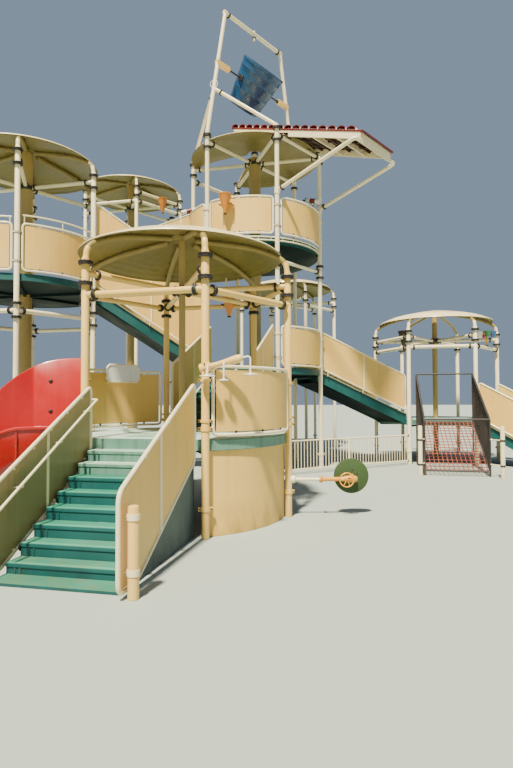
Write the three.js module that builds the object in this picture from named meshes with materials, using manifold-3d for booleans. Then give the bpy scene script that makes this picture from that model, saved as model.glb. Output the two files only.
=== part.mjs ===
// An aquatic play structure: six hexagonal towers on a triangular grid, joined by stairs, with a tipping bucket
// on top. Millimetres, +Z up. The origin is the foot of the front tower's centre post, at the water line, and
// -Y is the entry side.
import * as THREE from "three";
import { mergeVertices } from "three/addons/utils/BufferGeometryUtils.js";
import Module from "manifold-3d";

const wasm = await Module();
wasm.setup();

// Driving dimensions
const HEX = 1830; // centre of a tower to the axis of each of its six posts
const APOTHEM = HEX * Math.cos(Math.PI / 6);
const GRID = 5980; // centre to centre of neighbouring towers
const GAP = 0.3; // clearance where two pieces touch
const POST = 57; // radius of a post
const FLANGE = { radius: 108, thick: 44, drop: 304 }; // bolted pairs at the head of a post
const HEADER_DROP = 470; // header beams below the upper flange
const TUBE = 24; // radius of a rail tube
const FLAT = Math.cos(Math.PI / 6); // a six-sided tube's flats lie this share of its radius out
const SHEET = 12; // thickness of an infill sheet
const DECK_RADIUS = 1800;
const DECK_EDGE = DECK_RADIUS * Math.cos(Math.PI / 6); // centre to a straight side of a deck
const DECK_THICK = 150;
const RISER = 150;

const TOWERS = {
  front: { centre: grid(0, 0), flange: 3915, column: 57, headers: [4, 5, 0], backs: [1, 2, 3], sides: 8 },
  left: { centre: grid(0, 1), flange: 7330, column: 150, headers: [], backs: [], sides: 6, low: 3840 },
  tall: { centre: grid(1, 0), flange: 8737, column: 165, headers: [3], backs: [0], sides: 8 },
  second: { centre: grid(1, 1), flange: 8900, column: 135, headers: [4, 5, 0], backs: [0], sides: 6 },
  right: { centre: grid(2, -1), flange: 3875, column: 80, headers: [4, 5, 0], backs: [4], sides: 6 },
  far: { centre: grid(2, 0), flange: 5770, column: 80, headers: [0], backs: [], sides: 6 },
};

const FRONT_DECK = 1350;
const LEFT_DECK = 4650;
const MID_DECK = 2700;
const UPPER_DECK = 6000;
const SECOND_DECK = 6200;
const WALK_RAIL = 7390; // top of the rails of the level walk from the tall tower to the second one
const RIGHT_DECK = 1300;

// The grid's two directions are 60 degrees apart: one is +Y, the other runs up to the left.
function grid(i, j) {
  const [x, y] = polar(150, GRID * j);
  return [x, y + GRID * i];
}

function polar(degrees, radius) {
  const a = THREE.MathUtils.degToRad(degrees);
  return [radius * Math.cos(a), radius * Math.sin(a)];
}

function around(centre, degrees, radius, z) {
  const [x, y] = polar(degrees, radius);
  return [centre[0] + x, centre[1] + y, z];
}

// Post n of a tower stands at -60 + 60 n degrees, and edge n runs from post n to post n + 1.
const postAngle = (n) => -60 + 60 * n;
const post = (tower, n, z) => around(tower.centre, postAngle(n), HEX, z);
const edgeAngle = (n) => postAngle(n) + 30;

// Solids
function solid(geometry) {
  const bare = geometry.index ? geometry.toNonIndexed() : geometry.clone();
  for (const name of Object.keys(bare.attributes)) if (name !== "position") bare.deleteAttribute(name);
  const merged = mergeVertices(bare, 1e-3);
  const faces = [];
  for (let i = 0; i < merged.index.count; i += 3) {
    const [a, b, c] = merged.index.array.slice(i, i + 3);
    if (a !== b && b !== c && c !== a) faces.push(a, b, c);
  }
  const vertProperties = new Float32Array(merged.attributes.position.array);
  return new wasm.Manifold(new wasm.Mesh({ numProp: 3, vertProperties, triVerts: new Uint32Array(faces) }));
}

function geometryOf(body) {
  const mesh = body.getMesh();
  const position = new Float32Array(mesh.numVert * 3);
  for (let i = 0; i < mesh.numVert; i++) {
    position.set(mesh.vertProperties.subarray(i * mesh.numProp, i * mesh.numProp + 3), i * 3);
  }
  const geometry = new THREE.BufferGeometry();
  geometry.setAttribute("position", new THREE.BufferAttribute(position, 3));
  geometry.setIndex(new THREE.BufferAttribute(mesh.triVerts, 1));
  geometry.computeVertexNormals();
  return geometry;
}

const fuse = (...bodies) => bodies.flat().reduce((a, b) => a.add(b));
const cut = (body, ...tools) => tools.flat().reduce((a, b) => a.subtract(b), body);

// Rings of points joined in order, capped at both ends unless the last joins the first.
function skin(rings, closed, capFaces) {
  const size = rings[0].length;
  const points = rings.flat();
  const faces = [];
  const spans = closed ? rings.length : rings.length - 1;
  for (let i = 0; i < spans; i++) {
    const here = i * size;
    const next = ((i + 1) % rings.length) * size;
    for (let k = 0; k < size; k++) {
      const l = (k + 1) % size;
      faces.push(here + k, here + l, next + l, here + k, next + l, next + k);
    }
  }
  if (!closed) {
    const last = (rings.length - 1) * size;
    for (const [a, b, c] of capFaces) faces.push(c, b, a, last + a, last + b, last + c);
  }
  const geometry = new THREE.BufferGeometry();
  geometry.setAttribute("position", new THREE.Float32BufferAttribute(points.flatMap((p) => p.toArray()), 3));
  geometry.setIndex(faces);
  return solid(geometry);
}

// A round tube along a run of points, with mitred corners.
function pipe(run, radius, sides = 8, closed = false) {
  const at = run.map((p) => new THREE.Vector3(...p));
  const legs = at.map((p, i) => at[(i + 1) % at.length].clone().sub(p).normalize());
  const first = closed ? legs.at(-1) : legs[0];
  const sweep = at.at(-1).clone().sub(at[0]).setZ(0);
  const sideways = sweep.length() > 1 ? sweep : new THREE.Vector3(1, 0, 0);
  const u = first.clone().cross(Math.abs(first.z) > 0.9 ? sideways : new THREE.Vector3(0, 0, 1)).normalize();
  const v = first.clone().cross(u);
  let ring = Array.from({ length: sides }, (_, k) => {
    const a = (2 * Math.PI * k) / sides;
    return v.clone().multiplyScalar(radius * Math.cos(a)).addScaledVector(u, -radius * Math.sin(a));
  });
  const rings = at.map((p, i) => {
    const incoming = i > 0 ? legs[i - 1] : first;
    const outgoing = closed || i < at.length - 1 ? legs[i] : incoming;
    const mitre = incoming.clone().add(outgoing);
    ring = ring.map((o) => o.clone().addScaledVector(incoming, -o.dot(mitre) / incoming.dot(mitre)));
    return ring.map((o) => p.clone().add(o));
  });
  const cap = Array.from({ length: sides - 2 }, (_, k) => [0, k + 1, k + 2]);
  return skin(rings, closed, cap);
}

// Flat outlines joined through stations, one for each. A station has an origin and two directions.
function loft(outlines, stations) {
  const flat = outlines.map((outline) => outline.map(([x, y]) => new THREE.Vector2(x, y)));
  if (THREE.ShapeUtils.isClockWise(flat[0])) flat.forEach((points) => points.reverse());
  const cap = THREE.ShapeUtils.triangulateShape(flat[0], []);
  const rings = stations.map(({ origin, across, up }, k) =>
    flat[k].map((p) => origin.clone().addScaledVector(across, p.x).addScaledVector(up, p.y)),
  );
  const travel = stations.at(-1).origin.clone().sub(stations[0].origin);
  const forward = stations[0].across.clone().cross(stations[0].up).dot(travel) > 0;
  return skin(forward ? rings : rings.reverse(), false, cap);
}

// An outline in plan, raised from one height to another.
function prism(outline, low, high) {
  const shape = new THREE.Shape(outline.map(([x, y]) => new THREE.Vector2(x, y)));
  const geometry = new THREE.ExtrudeGeometry(shape, { depth: high - low, bevelEnabled: false });
  return solid(geometry.translate(0, 0, low));
}

// An upright plane through a foot, seen from its side: s along the azimuth, z up, t to the left of it.
function plane(foot, azimuth) {
  const [dx, dy] = polar(azimuth, 1);
  return (s, t, z) => [foot[0] + dx * s - dy * t, foot[1] + dy * s + dx * t, z];
}

// A side outline of (s, z) points, made as thick as it is wide across its plane.
function board(place, outline, left, right) {
  const station = (t) => {
    const origin = new THREE.Vector3(...place(0, t, 0));
    const across = new THREE.Vector3(...place(1, t, 0)).sub(origin);
    return { origin, across, up: new THREE.Vector3(0, 0, 1) };
  };
  return loft([outline, outline], [station(left), station(right)]);
}

function arc(centre, radius, from, to, steps, z) {
  const angle = (k) => from + ((to - from) * k) / steps;
  return Array.from({ length: steps + 1 }, (_, k) => around(centre, angle(k), radius, z));
}

function curvedWall(centre, inner, outer, from, to, low, high, steps) {
  const plan = [...arc(centre, outer, from, to, steps, 0), ...arc(centre, inner, to, from, steps, 0)];
  return prism(plan, low, high);
}

// A turned shape. Its profile of (radius, height) points starts and ends on the axis, or else closes on itself.
function turned(profile, segments, placing) {
  const open = profile[0][0] === 0;
  const loop = (open ? profile : [...profile, profile[0]]).map(([r, z]) => new THREE.Vector2(r, z));
  if (THREE.ShapeUtils.area(loop) < 0) loop.reverse();
  return solid(new THREE.LatheGeometry(loop, segments).rotateX(Math.PI / 2).applyMatrix4(placing));
}

const upright = ([x, y, z = 0]) => new THREE.Matrix4().makeTranslation(x, y, z);

// The corners of a run eased by short curves.
function eased(run, reach, steps, closed = false) {
  const at = run.map((p) => new THREE.Vector3(...p));
  return at.flatMap((p, i) => {
    if (!closed && (i === 0 || i === at.length - 1)) return [p.toArray()];
    const before = at[(i + at.length - 1) % at.length];
    const after = at[(i + 1) % at.length];
    const a = p.clone().add(before.clone().sub(p).setLength(reach));
    const b = p.clone().add(after.clone().sub(p).setLength(reach));
    return new THREE.QuadraticBezierCurve3(a, p, b).getPoints(steps).map((q) => q.toArray());
  });
}

// Tower frames
const RIB = { radius: 45, rise: [[1830, 60], [1785, 240], [1600, 370], [1150, 535], [260, 708]] };
const RADIAL_DROP = FLANGE.drop / 2;

function posts(tower, grow = 0, top = tower.flange) {
  const one = (n) => pipe([post(tower, n, -grow), post(tower, n, top)], POST + grow, tower.sides);
  return fuse([0, 1, 2, 3, 4, 5].map(one));
}

function column(tower, grow = 0, top = tower.flange + 700) {
  const [x, y] = tower.centre;
  return pipe([[x, y, -grow], [x, y, top + grow]], tower.column + grow, tower.sides + 2);
}

// A bolted flange pair on a post, as one collar.
function collar(tower, n, z) {
  const faces = [-FLANGE.thick / 2, FLANGE.thick / 2].map((half) => post(tower, n, z + half));
  return pipe(faces, FLANGE.radius, tower.sides);
}

function towerFrame(tower, domed = true) {
  const [postTop, columnTop] = domed ? [RIB.rise[0][1], 740] : [0, 0];
  const pieces = [posts(tower, 0, tower.flange + postTop), column(tower, 0, tower.flange + columnTop)];
  for (let n = 0; n < 6; n++) {
    const spool = tower.flange - RADIAL_DROP;
    pieces.push(pipe([[...tower.centre, spool], post(tower, n, spool)], RIB.radius, 6));
    if (domed) {
      const rib = RIB.rise.map(([r, z]) => around(tower.centre, postAngle(n), r, tower.flange + z));
      pieces.push(pipe([...rib, [...tower.centre, tower.flange + 715]], RIB.radius, 6));
    }
    if (tower.sides === 8) {
      pieces.push(collar(tower, n, tower.flange), collar(tower, n, tower.flange - FLANGE.drop));
    }
  }
  const header = (n, z, radius = 50) => pipe([post(tower, n, z), post(tower, n + 1, z)], radius, 6);
  pieces.push(...tower.headers.map((n) => header(n, tower.flange - HEADER_DROP)));
  pieces.push(...tower.backs.map((n) => header(n, tower.flange - RADIAL_DROP, RIB.radius - 1)));
  if (tower.low) pieces.push(...[0, 1, 2, 3, 4, 5].map((n) => header(n, tower.low)));
  return fuse(pieces);
}

// The line at a distance outside a profile, its corners kept sharp.
function offset(profile, distance) {
  const at = profile.map(([r, z]) => new THREE.Vector2(r, z));
  const normal = (a, b) => new THREE.Vector2(b.y - a.y, a.x - b.x).normalize();
  return at.map((p, i) => {
    const before = i > 0 ? normal(at[i - 1], p) : normal(p, at[i + 1]);
    const after = i < at.length - 1 ? normal(p, at[i + 1]) : before;
    const mitre = before.clone().add(after).normalize();
    return p.clone().addScaledVector(mitre, distance / mitre.dot(before)).toArray();
  });
}

const CANOPY_THICK = 30;

// A canopy stands a hair over the ribs, turned so that a corner of it lies on each rib.
function canopy(tower, segments) {
  const onRib = new THREE.Matrix4().makeRotationZ(Math.PI / 6);
  const ribs = RIB.rise.map(([r, z]) => [r, tower.flange + z]);
  const under = offset(ribs, RIB.radius + 0.5).slice(2);
  const over = offset(ribs, RIB.radius + 0.5 + CANOPY_THICK).slice(2);
  return turned([...under, ...over.reverse()], segments, upright(tower.centre).multiply(onRib));
}

// A deck: straight where a stair meets it, round elsewhere.
function deckPlan(tower, open, radius = DECK_RADIUS) {
  return [0, 1, 2, 3, 4, 5].flatMap((n) =>
    arc(tower.centre, radius, postAngle(n), postAngle(n + 1), open.includes(n) ? 1 : 4, 0).slice(0, -1),
  );
}

function deck(tower, top, open, grow = 0, thick = DECK_THICK) {
  return prism(deckPlan(tower, open, DECK_RADIUS + grow), top - thick - grow, top + grow);
}

// Railings
const BAY = { inset: 110, corner: 90, sheetInset: 62 };

// A rail panel that follows the tower's round: a tube frame, a sheet inside it, and stubs to both posts.
function railBay(tower, edge, low, high, extra = []) {
  const turn = (mm) => THREE.MathUtils.radToDeg(mm / HEX);
  const from = postAngle(edge) + turn(BAY.inset);
  const to = postAngle(edge + 1) - turn(BAY.inset);
  const bend = ([a, z]) => around(tower.centre, a, HEX, z);
  const ease = turn(BAY.corner);
  const middle = [1, 2, 3].map((k) => from + ((to - from) * k) / 4);
  const loop = [
    [from + ease, low], ...middle.map((a) => [a, low]), [to - ease, low], [to, low + BAY.corner],
    [to, high - BAY.corner], [to - ease, high], ...middle.reverse().map((a) => [a, high]),
    [from + ease, high], [from, high - BAY.corner], [from, low + BAY.corner],
  ];
  const inset = turn(BAY.sheetInset);
  const sheet = curvedWall(tower.centre, HEX - SHEET / 2, HEX + SHEET / 2, from + inset, to - inset,
    low + BAY.sheetInset, high - BAY.sheetInset, 4);
  const pieces = [pipe(loop.map(bend), TUBE, 6, true), sheet];
  for (const z of [low + 220, high - 220]) {
    pieces.push(pipe([bend([postAngle(edge), z]), bend([from + 1.5 * inset, z])], 12, 4));
    pieces.push(pipe([bend([postAngle(edge + 1), z]), bend([to - 1.5 * inset, z])], 12, 4));
  }
  for (const z of extra) {
    const rail = [0, 1, 2, 3, 4].map((k) => bend([postAngle(edge + k / 4), z]));
    pieces.push(pipe(rail, TUBE * 0.7, 6));
    pieces.push(pipe([z, high].map((end) => bend([edgeAngle(edge), end])), 10, 4));
  }
  return cut(fuse(pieces), posts(tower, GAP));
}

// A rail panel beside a flight: a tube frame with its sheet. Its corners are (s, z) points, the two ends of the
// lower line first and then the upper one.
function flightRail(place, t, corners) {
  const frame = eased(corners.map(([s, z]) => place(s, t, z)), 110, 2, true);
  return fuse(pipe(frame, TUBE, 6, true), board(place, corners, t - SHEET / 2, t + SHEET / 2));
}
// The upright of such a panel at s.
function railUpright(place, t, [lowFoot, lowHead, highHead, highFoot], s) {
  const height = (p, q) => p[1] + ((q[1] - p[1]) * (s - p[0])) / (q[0] - p[0]);
  const ends = [height(lowFoot, lowHead), height(highFoot, highHead)];
  return pipe(ends.map((z) => place(s, t, z)), TUBE * 0.8, 6);
}

// Flights of steps climb from s = 0 in the side view of their place, and each tread is one going long.
// This is the underside of one, from its head back to its foot, kept above the ground.
function underside(run, foot, head) {
  return [[run, head], ...(foot < 0 ? [[(run * foot) / (foot - head), 0], [0, 0]] : [[0, foot]])];
}

function stepOutline(run, low, risers, rise, soffit) {
  const going = run / (risers - 1);
  const line = low > 0 ? [[0, low]] : [];
  for (let k = 0; k < risers - 1; k++) {
    line.push([going * k, low + rise * (k + 1)], [going * (k + 1), low + rise * (k + 1)]);
  }
  return [...line, ...underside(run, low + rise * 0.5 - soffit, low + rise * (risers - 1) - soffit)];
}

const FLIGHT = { half: 700, rail: 804, stringer: 40, soffit: 190, low: 90, high: 1100, tall: 2100, end: 70 };

function pitchLine({ run, low, high }) {
  const risers = Math.round((high - low) / RISER);
  const rise = (high - low) / risers;
  return { risers, rise, line: (s, up) => [s, low + rise + ((high - low - rise) * s) / run + up] };
}

function flight(place, span) {
  const { run, low, high } = span;
  const { risers, rise } = pitchLine(span);
  const steps = board(place, stepOutline(run, low, risers, rise, FLIGHT.soffit), -FLIGHT.half, FLIGHT.half);
  const inset = 4;
  const shifted = (s, t, z) => place(s + inset, t, z);
  const shorter = run - 2 * inset;
  const lower = underside(shorter, low - DECK_THICK, high - DECK_THICK - rise);
  const edge = [[0, low + rise + 20], [shorter, high + 20], ...lower];
  const { half, stringer } = FLIGHT;
  const left = board(shifted, edge, half - inset, half + stringer);
  const right = board(shifted, edge, -half - stringer, inset - half);
  return fuse(steps, left, right);
}

// The railing on one side of a flight, held off its stringer by three brackets. The side is 1 on the left and
// -1 on the right.
function flightRailing(place, span, side, height = FLIGHT.high, apart = GAP) {
  const { run } = span;
  const { line } = pitchLine(span);
  const [a, b] = [FLIGHT.end, run - FLIGHT.end];
  const t = side * FLIGHT.rail;
  const feet = [300, run / 2 + 40, run - 300].map((s) => {
    const [, z] = line(s, FLIGHT.low);
    const inner = side * (FLIGHT.half + FLIGHT.stringer + apart);
    return pipe([place(s, t, z), place(s, t, z - 110), place(s, inner, z - 110)], 14, 4);
  });
  const corners = [line(a, FLIGHT.low), line(b, FLIGHT.low), line(b, height), line(a, height)];
  return fuse(flightRail(place, t, corners), railUpright(place, t, corners, run / 2), feet);
}

// Nodes
const root = new THREE.Group();
const PAINT = {
  sand: { color: 0xd9bf86, roughness: 0.45, metalness: 0.1 },
  cream: { color: 0xece2cf, roughness: 0.4, metalness: 0.1 },
  teal: { color: 0x2a8078, roughness: 0.6, metalness: 0 },
  pale: { color: 0xa9c8b6, roughness: 0.6, metalness: 0 },
  red: { color: 0xc4322c, roughness: 0.3, metalness: 0 },
  blue: { color: 0x1f5f8c, roughness: 0.3, metalness: 0 },
  tile: { color: 0x6f2325, roughness: 0.7, metalness: 0 },
  yellow: { color: 0xdda435, roughness: 0.4, metalness: 0 },
  orange: { color: 0xc9822b, roughness: 0.4, metalness: 0 },
  green: { color: 0x32553c, roughness: 0.7, metalness: 0 },
  rope: { color: 0x82493b, roughness: 0.9, metalness: 0 },
  black: { color: 0x2c2a2c, roughness: 0.5, metalness: 0.4 },
};

function add(name, body, paint) {
  const mesh = new THREE.Mesh(geometryOf(body), new THREE.MeshStandardMaterial(PAINT[paint]));
  mesh.name = name;
  root.add(mesh);
}

const { front, left, tall, second, right, far } = TOWERS;
const edgeMiddle = (tower, n, apart = 0) => around(tower.centre, edgeAngle(n), DECK_EDGE + apart, 0);
const bracket = (place, s, t0, t1, z) => pipe([place(s, t0, z), place(s, t1, z)], 16, 4);

// Front tower: open to the entry stair (edge 5), the stair to the tall tower (edge 2) and the slide (edge 4)
const frontDeck = (grow = 0) => deck(front, FRONT_DECK, [5, 2, 4], grow);
const SKIRT = { radius: 1765, thick: 30 };
add("front_canopy", canopy(front, 18), "cream");
add("front_deck", cut(frontDeck(), posts(front, GAP), column(front, GAP)), "pale");
const skirtWall = curvedWall(
  front.centre, SKIRT.radius - SKIRT.thick, SKIRT.radius, postAngle(0) + 1, postAngle(1) - 1,
  0, FRONT_DECK - DECK_THICK - GAP, 8,
);
add("front_skirt_wall", skirtWall, "sand");
add("front_rail_panel", railBay(front, 0, FRONT_DECK + 60, FRONT_DECK + 1020), "cream");
add("front_back_panel", railBay(front, 3, FRONT_DECK + 60, FRONT_DECK + 1110), "cream");

// Entry stair: runs out along -Y from edge 5 to the water
const ENTRY = { width: 1480, run: 1940, risers: 9, rail: 800, skirt: 36, toe: 280 };
const entry = plane([0, -DECK_EDGE - GAP - ENTRY.run], 90);
const entryHalf = ENTRY.width / 2;
const entrySteps = board(entry, stepOutline(ENTRY.run, 0, ENTRY.risers, RISER, 160), -entryHalf, entryHalf);
const entryToe = board(entry, [[-ENTRY.toe, 0], [60, 0], [60, 30], [-ENTRY.toe, 30]], -entryHalf, entryHalf);
const skirtLine = [[0, 0], [ENTRY.run, 0], [ENTRY.run, FRONT_DECK - RISER - 10], [0, 10]];
const entrySkirt = (t) => board(entry, skirtLine, t, t + ENTRY.skirt);
const entrySkirts = [entrySkirt(-entryHalf), entrySkirt(entryHalf - ENTRY.skirt)];
add("entry_stair", fuse(entrySteps, entryToe, entrySkirts), "teal");

// Both rails run on past the foot of the stair, where their lower tube lies just over the water.
const ENTRY_RAIL = {
  left: { corners: [[-60, 60], [1880, 1080], [1880, 2110], [-450, 810], [-450, 60]], upright: 835 },
  right: { corners: [[-60, 60], [1780, 1080], [1780, 2130], [-450, 1020], [-450, 60]], upright: 585 },
};
function entryRail(side) {
  const t = side * ENTRY.rail;
  const { corners, upright } = side > 0 ? ENTRY_RAIL.left : ENTRY_RAIL.right;
  const feet = [[250, 240], [ENTRY.run / 2, 640], [ENTRY.run - 250, 1080]].map(([s, z]) =>
    bracket(entry, s, t, side * (entryHalf + GAP), z),
  );
  return fuse(flightRail(entry, t, corners), railUpright(entry, t, corners, upright), feet);
}
const HANDRAIL = { from: [-300, 690], to: [1800, 1890], inside: 120 };
function handrail() {
  const t = ENTRY.rail - HANDRAIL.inside;
  const slope = (HANDRAIL.to[1] - HANDRAIL.from[1]) / (HANDRAIL.to[0] - HANDRAIL.from[0]);
  const height = (s) => HANDRAIL.from[1] + slope * (s - HANDRAIL.from[0]);
  const bar = pipe([HANDRAIL.from, HANDRAIL.to].map(([s, z]) => entry(s, t, z)), 17, 6);
  const arms = [200, ENTRY.run / 2, ENTRY.run - 300];
  return fuse(bar, arms.map((s) => bracket(entry, s, t, ENTRY.rail, height(s))));
}
add("entry_rail_right", entryRail(-1), "cream");
add("entry_rail_left", fuse(entryRail(1), handrail()), "cream");
const BOLLARD = { s: -330, t: -900, radius: 56, high: 890, clamps: [250, 780] };
function bollard() {
  const at = (z) => entry(BOLLARD.s, BOLLARD.t, z);
  const face = -ENTRY.rail - SHEET / 2 - GAP;
  return fuse(
    pipe([at(0), at(BOLLARD.high)], BOLLARD.radius, 8),
    BOLLARD.clamps.map((z) => bracket(entry, BOLLARD.s, BOLLARD.t, face, z)),
  );
}
add("entry_bollard", bollard(), "sand");

// Slide: an open flume from edge 4. Its floor drops to the water while it turns, its near wall stays level at
// first, and its far wall starts as a tall shield whose top curves down to meet the other lip.
const SLIDE = { wall: 30, halfWidth: 470, turn: 55, straight: 900, radius: 2600, stations: 9 };
const SLIDE_LENGTH = SLIDE.straight + THREE.MathUtils.degToRad(SLIDE.turn) * SLIDE.radius;
const slideFloor = (run) => FRONT_DECK - 120 - 1150 * THREE.MathUtils.smoothstep(run, 0, 2900);
const slideLip = (run) => FRONT_DECK + 160 - 1090 * THREE.MathUtils.smoothstep(run, 900, SLIDE_LENGTH);
const slideShield = (run) => Math.max(slideLip(run), FRONT_DECK + 1260 - 0.26 * (run / 100) ** 3);
function slideStations() {
  const heading = edgeAngle(4);
  const bendAt = (run) => THREE.MathUtils.radToDeg(Math.max(0, run - SLIDE.straight) / SLIDE.radius);
  const step = SLIDE_LENGTH / SLIDE.stations;
  let [x, y] = edgeMiddle(front, 4, GAP);
  return Array.from({ length: SLIDE.stations + 1 }, (_, k) => {
    if (k > 0) {
      const [dx, dy] = polar(heading + (bendAt(step * k) + bendAt(step * (k - 1))) / 2, step);
      x += dx;
      y += dy;
    }
    const [ax, ay] = polar(heading + bendAt(step * k) + 90, 1);
    return {
      run: step * k,
      origin: new THREE.Vector3(x, y, 0),
      across: new THREE.Vector3(ax, ay, 0),
      up: new THREE.Vector3(0, 0, 1),
    };
  });
}
function slideSection({ run }) {
  const { wall, halfWidth } = SLIDE;
  const [floor, lip, shield] = [slideFloor(run), slideLip(run), slideShield(run)];
  return [
    [wall - halfWidth, shield], [wall - halfWidth, floor + wall], [halfWidth - wall, floor + wall],
    [halfWidth - wall, lip], [halfWidth, lip], [halfWidth, floor], [-halfWidth, floor], [-halfWidth, shield],
  ];
}
function slide() {
  const stations = slideStations();
  const legs = [stations[4], stations[7]].map(({ run, origin: { x, y } }) =>
    pipe([[x, y, 0], [x, y, slideFloor(run) + SLIDE.wall / 2]], 45, 6),
  );
  return cut(fuse(loft(stations.map(slideSection), stations), legs), posts(front, GAP), frontDeck(GAP));
}
add("red_slide", slide(), "red");

// Toys of the front tower: a club with shower heads on post 0, and a valve with its wheel and disc on post 1
const CLUB = { azimuth: 5, z: 2350, rise: 0.25, length: 530, thin: 38, thick: 55, saddle: 68, stem: 12 };
const ROSES = [
  { from: 66, s: 66, t: -170, z: 2240, radius: 110 },
  { from: 270, s: 270, t: -60, z: 2185, radius: 70 },
  { from: 500, s: 630, t: 0, z: 2262, radius: 105 },
];
function showerClub() {
  const place = plane(post(front, 0, 0), CLUB.azimuth);
  const at = (s, t = 0) => place(s, t, CLUB.z + CLUB.rise * s);
  const rose = ({ from, s, t, z, radius }) => [
    pipe([at(from), at(s, t), place(s, t, z - 10)], CLUB.stem, 6),
    pipe([place(s, t, z - 24), place(s, t, z)], radius, 10),
  ];
  const arm = [
    pipe([at(-78), at(78)], CLUB.saddle, 8),
    pipe([at(0), at(CLUB.length * 0.7)], CLUB.thin, 8),
    pipe([at(CLUB.length * 0.6), at(CLUB.length)], CLUB.thick, 8),
  ];
  return cut(fuse(arm, ROSES.map(rose).flat()), posts(front, GAP));
}
add("shower_club", showerClub(), "cream");

const VALVE = { azimuth: 12, z: 600, flange: 530, end: 1080, arm: 24 };
const DISC = { s: 1040, t: 95, z: 640, radius: 285, thick: 70 };
const WHEEL = { s: 935, t: -105, radius: 112, rim: 9, spokes: 6 };
const valve = plane(post(front, 1, 0), VALVE.azimuth);
const valveArm = fuse(
  pipe([valve(0, 0, VALVE.z), valve(VALVE.flange, 0, VALVE.z)], VALVE.arm, 8),
  pipe([valve(30, 0, VALVE.z), valve(100, 0, VALVE.z)], 62, 8),
  pipe([valve(VALVE.flange - 25, 0, VALVE.z), valve(VALVE.flange + 25, 0, VALVE.z)], 58, 10),
  pipe([valve(VALVE.flange, 0, VALVE.z), valve(VALVE.end - 60, 0, VALVE.z)], 34, 8),
  pipe([valve(VALVE.end - 75, 0, VALVE.z + 10), valve(VALVE.end + 50, 0, VALVE.z + 35)], 56, 8),
  pipe([valve(DISC.s, 0, DISC.z), valve(DISC.s, DISC.t - DISC.thick / 2 - GAP, DISC.z)], 40, 6),
  pipe([valve(WHEEL.s, 0, VALVE.z), valve(WHEEL.s, WHEEL.t + 22 + GAP, VALVE.z)], 20, 8),
);
add("valve_arm", cut(valveArm, posts(front, GAP)), "yellow");
const discFaces = [-DISC.thick / 2, DISC.thick / 2].map((t) => valve(DISC.s, DISC.t + t, DISC.z));
add("green_disc", pipe(discFaces, DISC.radius, 24), "green");
function handwheel() {
  const at = (a, r) => valve(WHEEL.s + r * Math.cos(a), WHEEL.t, VALVE.z + r * Math.sin(a));
  const rim = Array.from({ length: 12 }, (_, k) => at((k * Math.PI) / 6, WHEEL.radius));
  const spokes = Array.from({ length: WHEEL.spokes / 2 }, (_, k) => {
    const a = (k * 2 * Math.PI) / WHEEL.spokes;
    return pipe([at(a, WHEEL.radius), at(a + Math.PI, WHEEL.radius)], 6, 4);
  });
  const hub = [-22, 22].map((t) => valve(WHEEL.s, WHEEL.t + t, VALVE.z));
  return fuse(pipe(rim, WHEEL.rim, 6, true), spokes, pipe(hub, 22, 8));
}
add("valve_wheel", handwheel(), "yellow");

// Cone buckets: each hangs by its own pin between the two arms of a yoke, beside the tube that carries it
const CONE = {
  mouth: 160, tip: 28, depth: 490, wall: 12, floor: 30, sides: 12,
  pinBelowRim: 240, pin: 10, wallAtPin: 86, pinEnd: 148, arm: 9, aside: 240,
};
function cone([x, y, z], azimuth) {
  const rim = CONE.pinBelowRim;
  const foot = rim - CONE.depth;
  const floor = foot + CONE.floor;
  const profile = [
    [0, foot], [CONE.tip, foot], [CONE.mouth, rim],
    [CONE.mouth - CONE.wall, rim], [CONE.tip - CONE.wall, floor], [0, floor],
  ];
  const place = plane([x, y], azimuth);
  const pin = (side) => {
    const ends = [CONE.wallAtPin, CONE.pinEnd].map((s) => place(side * s, 0, z));
    return pipe(ends, CONE.pin, 6);
  };
  return fuse(turned(profile, CONE.sides, upright([x, y, z])), pin(1), pin(-1));
}
// The yoke's arms run level from inside the piece that carries them to just past the pin's ends.
function yoke({ pivot, azimuth, aside }) {
  const place = plane(pivot, azimuth);
  const reach = CONE.pinEnd + GAP + CONE.arm * FLAT;
  const outward = Math.sign(aside);
  return fuse([-reach, reach].map((s) =>
    pipe([place(s, outward * 22, pivot[2]), place(s, -aside - outward * 10, pivot[2])], CONE.arm, 6),
  ));
}
// A cone beside the header of an edge, a share of the way along it; aside is positive on the inner side.
function hungCone(tower, edge, share, drop, aside = CONE.aside) {
  const z = tower.flange - drop;
  const azimuth = edgeAngle(edge) + 90;
  return { pivot: plane(post(tower, edge, z), azimuth)(HEX * share, aside, z), azimuth, aside };
}
const frontCone = hungCone(front, 2, 0.24, RADIAL_DROP);
const secondCone = hungCone(second, 0, 0.48, HEADER_DROP, -CONE.aside);
const rightCone = hungCone(right, 4, 0.66, RADIAL_DROP);
add("front_frame", fuse(towerFrame(front), yoke(frontCone)), "sand");
add("front_cone", cone(frontCone.pivot, frontCone.azimuth), "orange");

// Tall tower
const headTop = tall.flange + FLANGE.thick / 2;
const ROOF = {
  from: -207, to: 3935, z: 9485, slope: 0.364, half: 730, thick: 60,
  board: 705, plank: 34, deep: 220, eave: 1780,
};
const roofPlane = plane(tall.centre, edgeAngle(0));
const roofZ = (s) => ROOF.z - ROOF.slope * (s - ROOF.from);
const ARM = { foot: 7150, out: 2273, z: 7745, radius: 45 };
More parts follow.
